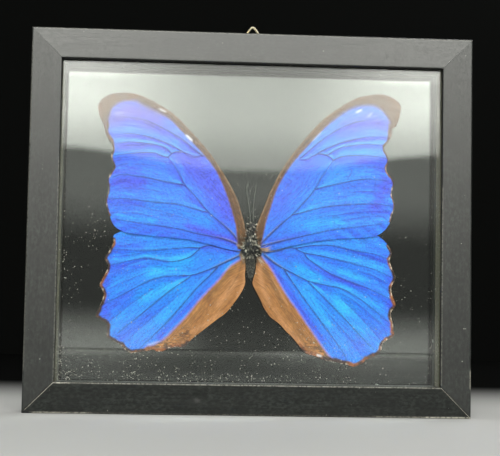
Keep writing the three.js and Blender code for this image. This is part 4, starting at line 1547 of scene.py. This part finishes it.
def addHair():
    material = hairMaterial("tuftedHair", 0.62)
    bundle = HairBundle()
    for index in range(bodySet["tufts"]):
        high = random.uniform(*bodySet["tuftSpan"])
        angle = random.uniform(-math.pi, math.pi) if index % 3 else random.uniform(-1.5, 1.5)
        outward = outwardAt(angle)
        isHead = high > bodySet["headFrom"]
        aside = math.sin(angle) * 2.0 + bodySet["axisX"]
        if isHead and any(math.hypot(aside - x, high - z) < 0.85 for x, z in bodySet["eyes"]):
            continue
        lie = Vector((math.sin(angle) * random.uniform(0.0, 0.5), 0, random.uniform(-1.0, 0.5)))
        length = random.uniform(0.5, 0.9) if isHead else random.uniform(0.8, 1.6)
        tone = random.choice((0.0, 0.0, 0.02, 0.04, 0.08, 0.3, 0.5, 0.66, 0.85))
        if abs(angle) > 1.7:
            tone = random.uniform(0.3, 0.6)
        addTuft(bundle, skinPoint(angle, high, -0.1), outward, lie, length, tone)
    for (x, high), length, (wayX, wayZ), tone in paleTufts:
        radius = float(np.interp(high, *bodyShape)) * slimAt(high)
        angle = math.asin(max(-0.95, min(0.95, (x - bodySet["axisX"]) / radius)))
        outward = outwardAt(angle)
        lie = Vector((wayX, 0, wayZ)).normalized() * 1.1
        thick = bodySet["paleRadius"]
        addTuft(bundle, skinPoint(angle, high, 0.55), outward * 0.6, lie, length * 1.15, tone + 0.10, thick)
        addTuft(bundle, skinPoint(angle, high, 0.50), outward * 0.8, lie, length * 0.9, tone - 0.08, thick)
    for index in range(bodySet["skirtTufts"]):
        high = random.uniform(*bodySet["skirtSpan"])
        angle = random.choice((-1, 1)) * random.uniform(0.5, 1.8)
        outward = outwardAt(angle, 0.5)
        lie = Vector((math.sin(angle) * random.uniform(0.5, 1.2), 0, random.uniform(-0.9, 0.3)))
        tone = random.choice((0.0, 0.0, 0.0, 0.03, 0.06, 0.25, 0.45, 0.95))
        addTuft(bundle, skinPoint(angle, high, 0.1), outward, lie, random.uniform(1.0, 2.1), tone)
    bundle.make("thorax_hair", material)
    bundle = HairBundle()
    for index in range(bodySet["shortHairs"]):
        high = random.uniform(*bodySet["shortSpan"])
        angle = random.uniform(-math.pi, math.pi)
        outward = outwardAt(angle)
        lie = Vector((math.sin(angle) * 0.1 + random.gauss(0, 0.15), 0, -1.0))
        tone = random.choice((0.03, 0.07, 0.12, 0.28, 0.38, 0.48, 0.62))
        bundle.add(skinPoint(angle, high, -0.12), outward * 0.35 + lie, random.uniform(0.4, 0.8) * mm,
                   random.uniform(0.05, 0.085) * mm, tone)
    bundle.make("abdomen_hair", material)
    bundle = HairBundle()
    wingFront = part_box("forewing_left")[0].y
    for (x, high), (wayX, wayZ), length, tone, count in rootHair:
        for index in range(count):
            root = Vector((x * mm + random.gauss(0, 0.35 * mm), wingFront - random.uniform(0.15, 0.7) * mm,
                           high * mm + random.gauss(0, 0.35 * mm)))
            asideX = random.gauss(0, 0.13)
            forward = random.uniform(-0.12, 0.02)
            way = Vector((wayX + asideX, forward, wayZ + random.gauss(0, 0.13)))
            bundle.add(root, way, length * random.uniform(0.5, 1.0) * mm, random.uniform(0.06, 0.10) * mm,
                       min(1.0, max(0.0, tone + random.gauss(-0.1, 0.12))), (0, 0.04, random.gauss(0, 0.05)))
    bundle.make("wing_root_hair", rootHairMaterial())


def rootHairMaterial():
    material, surface = newMaterial("rootHair")
    grain = noiseOf(objectCoords(), 2500.0, 2.0, 0.6)
    colour = ramp(attributeOf("tone"), (0.0, (0.03, 0.02, 0.012)), (0.5, (0.17, 0.10, 0.055)),
                  (0.8, (0.45, 0.30, 0.19)), (1.0, (0.72, 0.52, 0.38)))
    setLook(surface, colour, mapRange(grain, 0.3, 0.7, 0.5, 0.7), bump(grain, 0.3, 0.03 * mm))
    return material


# The antennae: thin tubes along chosen points (x, z) in mm, thicker at the club

antennaSet = {
    "left": [(-0.2, 91.9), (-0.5, 95.7), (-1, 100.3), (-1.7, 104.3), (-2.2, 108.3), (-1.3, 109.7)],
    "right": [(1.2, 91.9), (1.1, 96), (1.2, 100), (1.7, 105), (2.2, 109.3)],
    "radius": 0.125,
    "clubRadius": 0.20,
    "clubLength": 3.2,
    "sides": 10,
    "spacing": 0.3,
}


def addAntenna(side, material):
    node = "antenna_" + side
    low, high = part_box(node)
    depth = (low.y + high.y) / 2
    line = splineThrough(antennaSet[side], antennaSet["spacing"])
    run = np.concatenate([[0], np.cumsum(np.linalg.norm(np.diff(line, axis=0), axis=1))])
    ways = np.gradient(line, axis=0)
    count = antennaSet["sides"]
    verts = []
    faces = []
    for index, ((x, z), far, (wayX, wayZ)) in enumerate(zip(line, run, ways)):
        club = smooth(antennaSet["clubLength"], 0.6, run[-1] - far)
        radius = antennaSet["radius"] + (antennaSet["clubRadius"] - antennaSet["radius"]) * club
        radius *= 1 + 0.07 * math.sin(far * 2 * math.pi / 0.6)
        radius *= min(1.0, 0.35 + (run[-1] - far) / 0.4)
        across = Vector((wayZ, 0, -wayX)).normalized()
        for corner in range(count):
            angle = 2 * math.pi * corner / count
            place = Vector((x, depth / mm, z)) + across * radius * math.cos(angle)
            verts.append((place + Vector((0, radius * math.sin(angle), 0))) * mm)
        if index:
            faces += tubeFaces(index * count, count)
    faces.append(tuple(range(count))[::-1])
    faces.append(tuple(len(verts) - count + corner for corner in range(count)))
    piece = newPiece(node + "_tube", verts, faces)
    editAll(piece, (bpy.ops.mesh.normals_make_consistent, {"inside": False}))
    smoothByAngle(piece, 50)
    piece.data.materials.append(material)
    finishPiece(piece, "body_hair", node)


bodyShape = bodyRadii()
addCore()
addEyes()
addHair()
antennaGrey = cloudyMaterial(
    "antennaGrey", (1.0, 2.0), [(0.35, (0.07, 0.08, 0.065)), (0.65, (0.19, 0.21, 0.17))],
    (0.45, 0.65), (0.3, 0.05 * mm), stretch=(300, 300, 2600))
addAntenna("left", antennaGrey)
addAntenna("right", antennaGrey)
print("body, hair and antennae made")


# Dust that lies on the front pane: closed specks and a few fibres

dustSet = {
    "loose": 900,
    "clusters": [  # middle x, z, spread x, z in mm, how many
        ((-87, 70), (3.5, 9), 60), ((-74, 87), (3, 6), 45), ((0, 17.5), (60, 1.6), 190),
        ((-55, 17), (30, 1.4), 90), ((-88, 25), (1.8, 5), 60), ((-86, 18), (4, 2), 40),
        ((-60, 26), (22, 7), 160), ((40, 28), (30, 9), 160), ((88, 90), (1.6, 40), 60),
        ((-89, 110), (1.2, 35), 50), ((0, 112), (12, 12), 60), ((0, 45), (50, 16), 120),
    ],
    "size": 0.165 * mm,
    "thickness": 0.022 * mm,
    "offGlass": 0.002 * mm,
    "edgeClear": 0.3 * mm,
    "fibres": 16,
    "fibreSize": 0.045 * mm,
    "fibreSteps": 8,
    "scratch": ((66.5, 27.4), (69.2, 29.6)),
    "scratchLength": 3.4,
}


class DustHeap:
    def __init__(self):
        self.verts = []
        self.faces = []
        clear = dustSet["edgeClear"]
        self.lowX, self.highX = -outerHalf + railFace + clear, outerHalf - railFace - clear
        self.lowZ, self.highZ = railFace + clear, outerTop - railFace - clear

    def speck(self, x, z, size, stretch=1.0, turn=0.0):
        if not (self.lowX < x < self.highX and self.lowZ < z < self.highZ):
            return
        base = len(self.verts)
        foot = paneFront - dustSet["offGlass"]
        count = 5
        for corner in range(count):
            angle = 2 * math.pi * corner / count
            reach = size * random.uniform(0.6, 1.3)
            along = math.cos(angle) * reach * stretch
            across = math.sin(angle) * reach
            self.verts.append((x + along * math.cos(turn) - across * math.sin(turn), foot,
                               z + along * math.sin(turn) + across * math.cos(turn)))
        self.verts.append((x, foot - dustSet["thickness"], z))
        for corner in range(count):
            after = (corner + 1) % count
            self.faces.append((base + corner, base + after, base + count))
        self.faces.append(tuple(base + corner for corner in reversed(range(count))))

    def fibre(self, x, z, length, turn):
        bend = random.uniform(-1.2, 1.2)
        steps = dustSet["fibreSteps"]
        for index in range(steps):
            share = index / steps
            self.speck(x, z, dustSet["fibreSize"], 2.4 * length / 3, turn + bend * share)
            x += math.cos(turn + bend * share) * length / steps * mm
            z += math.sin(turn + bend * share) * length / steps * mm


def addDust():
    heap = DustHeap()
    for index in range(dustSet["loose"]):
        size = dustSet["size"] * random.uniform(0.5, 1.0) * (2.0 if index % 23 == 0 else 1.0)
        heap.speck(random.uniform(heap.lowX, heap.highX), random.uniform(heap.lowZ, heap.highZ), size,
                   random.uniform(1, 1.7), random.uniform(0, math.pi))
    for (x, z), (wide, high), count in dustSet["clusters"]:
        for index in range(count):
            size = dustSet["size"] * random.uniform(0.5, 1.5)
            heap.speck(random.gauss(x, wide) * mm, random.gauss(z, high) * mm, size, random.uniform(1, 1.8),
                       random.uniform(0, math.pi))
    for index in range(dustSet["fibres"]):
        heap.fibre(random.uniform(heap.lowX, heap.highX), random.uniform(heap.lowZ, heap.highZ),
                   random.uniform(1.0, 2.6), random.uniform(0, math.pi))
    start, end = dustSet["scratch"]
    turn = math.atan2(end[1] - start[1], end[0] - start[0])
    heap.fibre(start[0] * mm, start[1] * mm, dustSet["scratchLength"], turn)
    piece = newPiece("glass_dust", heap.verts, heap.faces)
    stops = [(0.3, (0.19, 0.195, 0.165)), (0.7, (0.50, 0.51, 0.43))]
    piece.data.materials.append(cloudyMaterial("paleDust", (600.0, 2.0), stops, (0.7, 0.95)))
    finishPiece(piece, "clear_glass")
    print("dust laid on:", len(piece.data.polygons), "faces")


addDust()
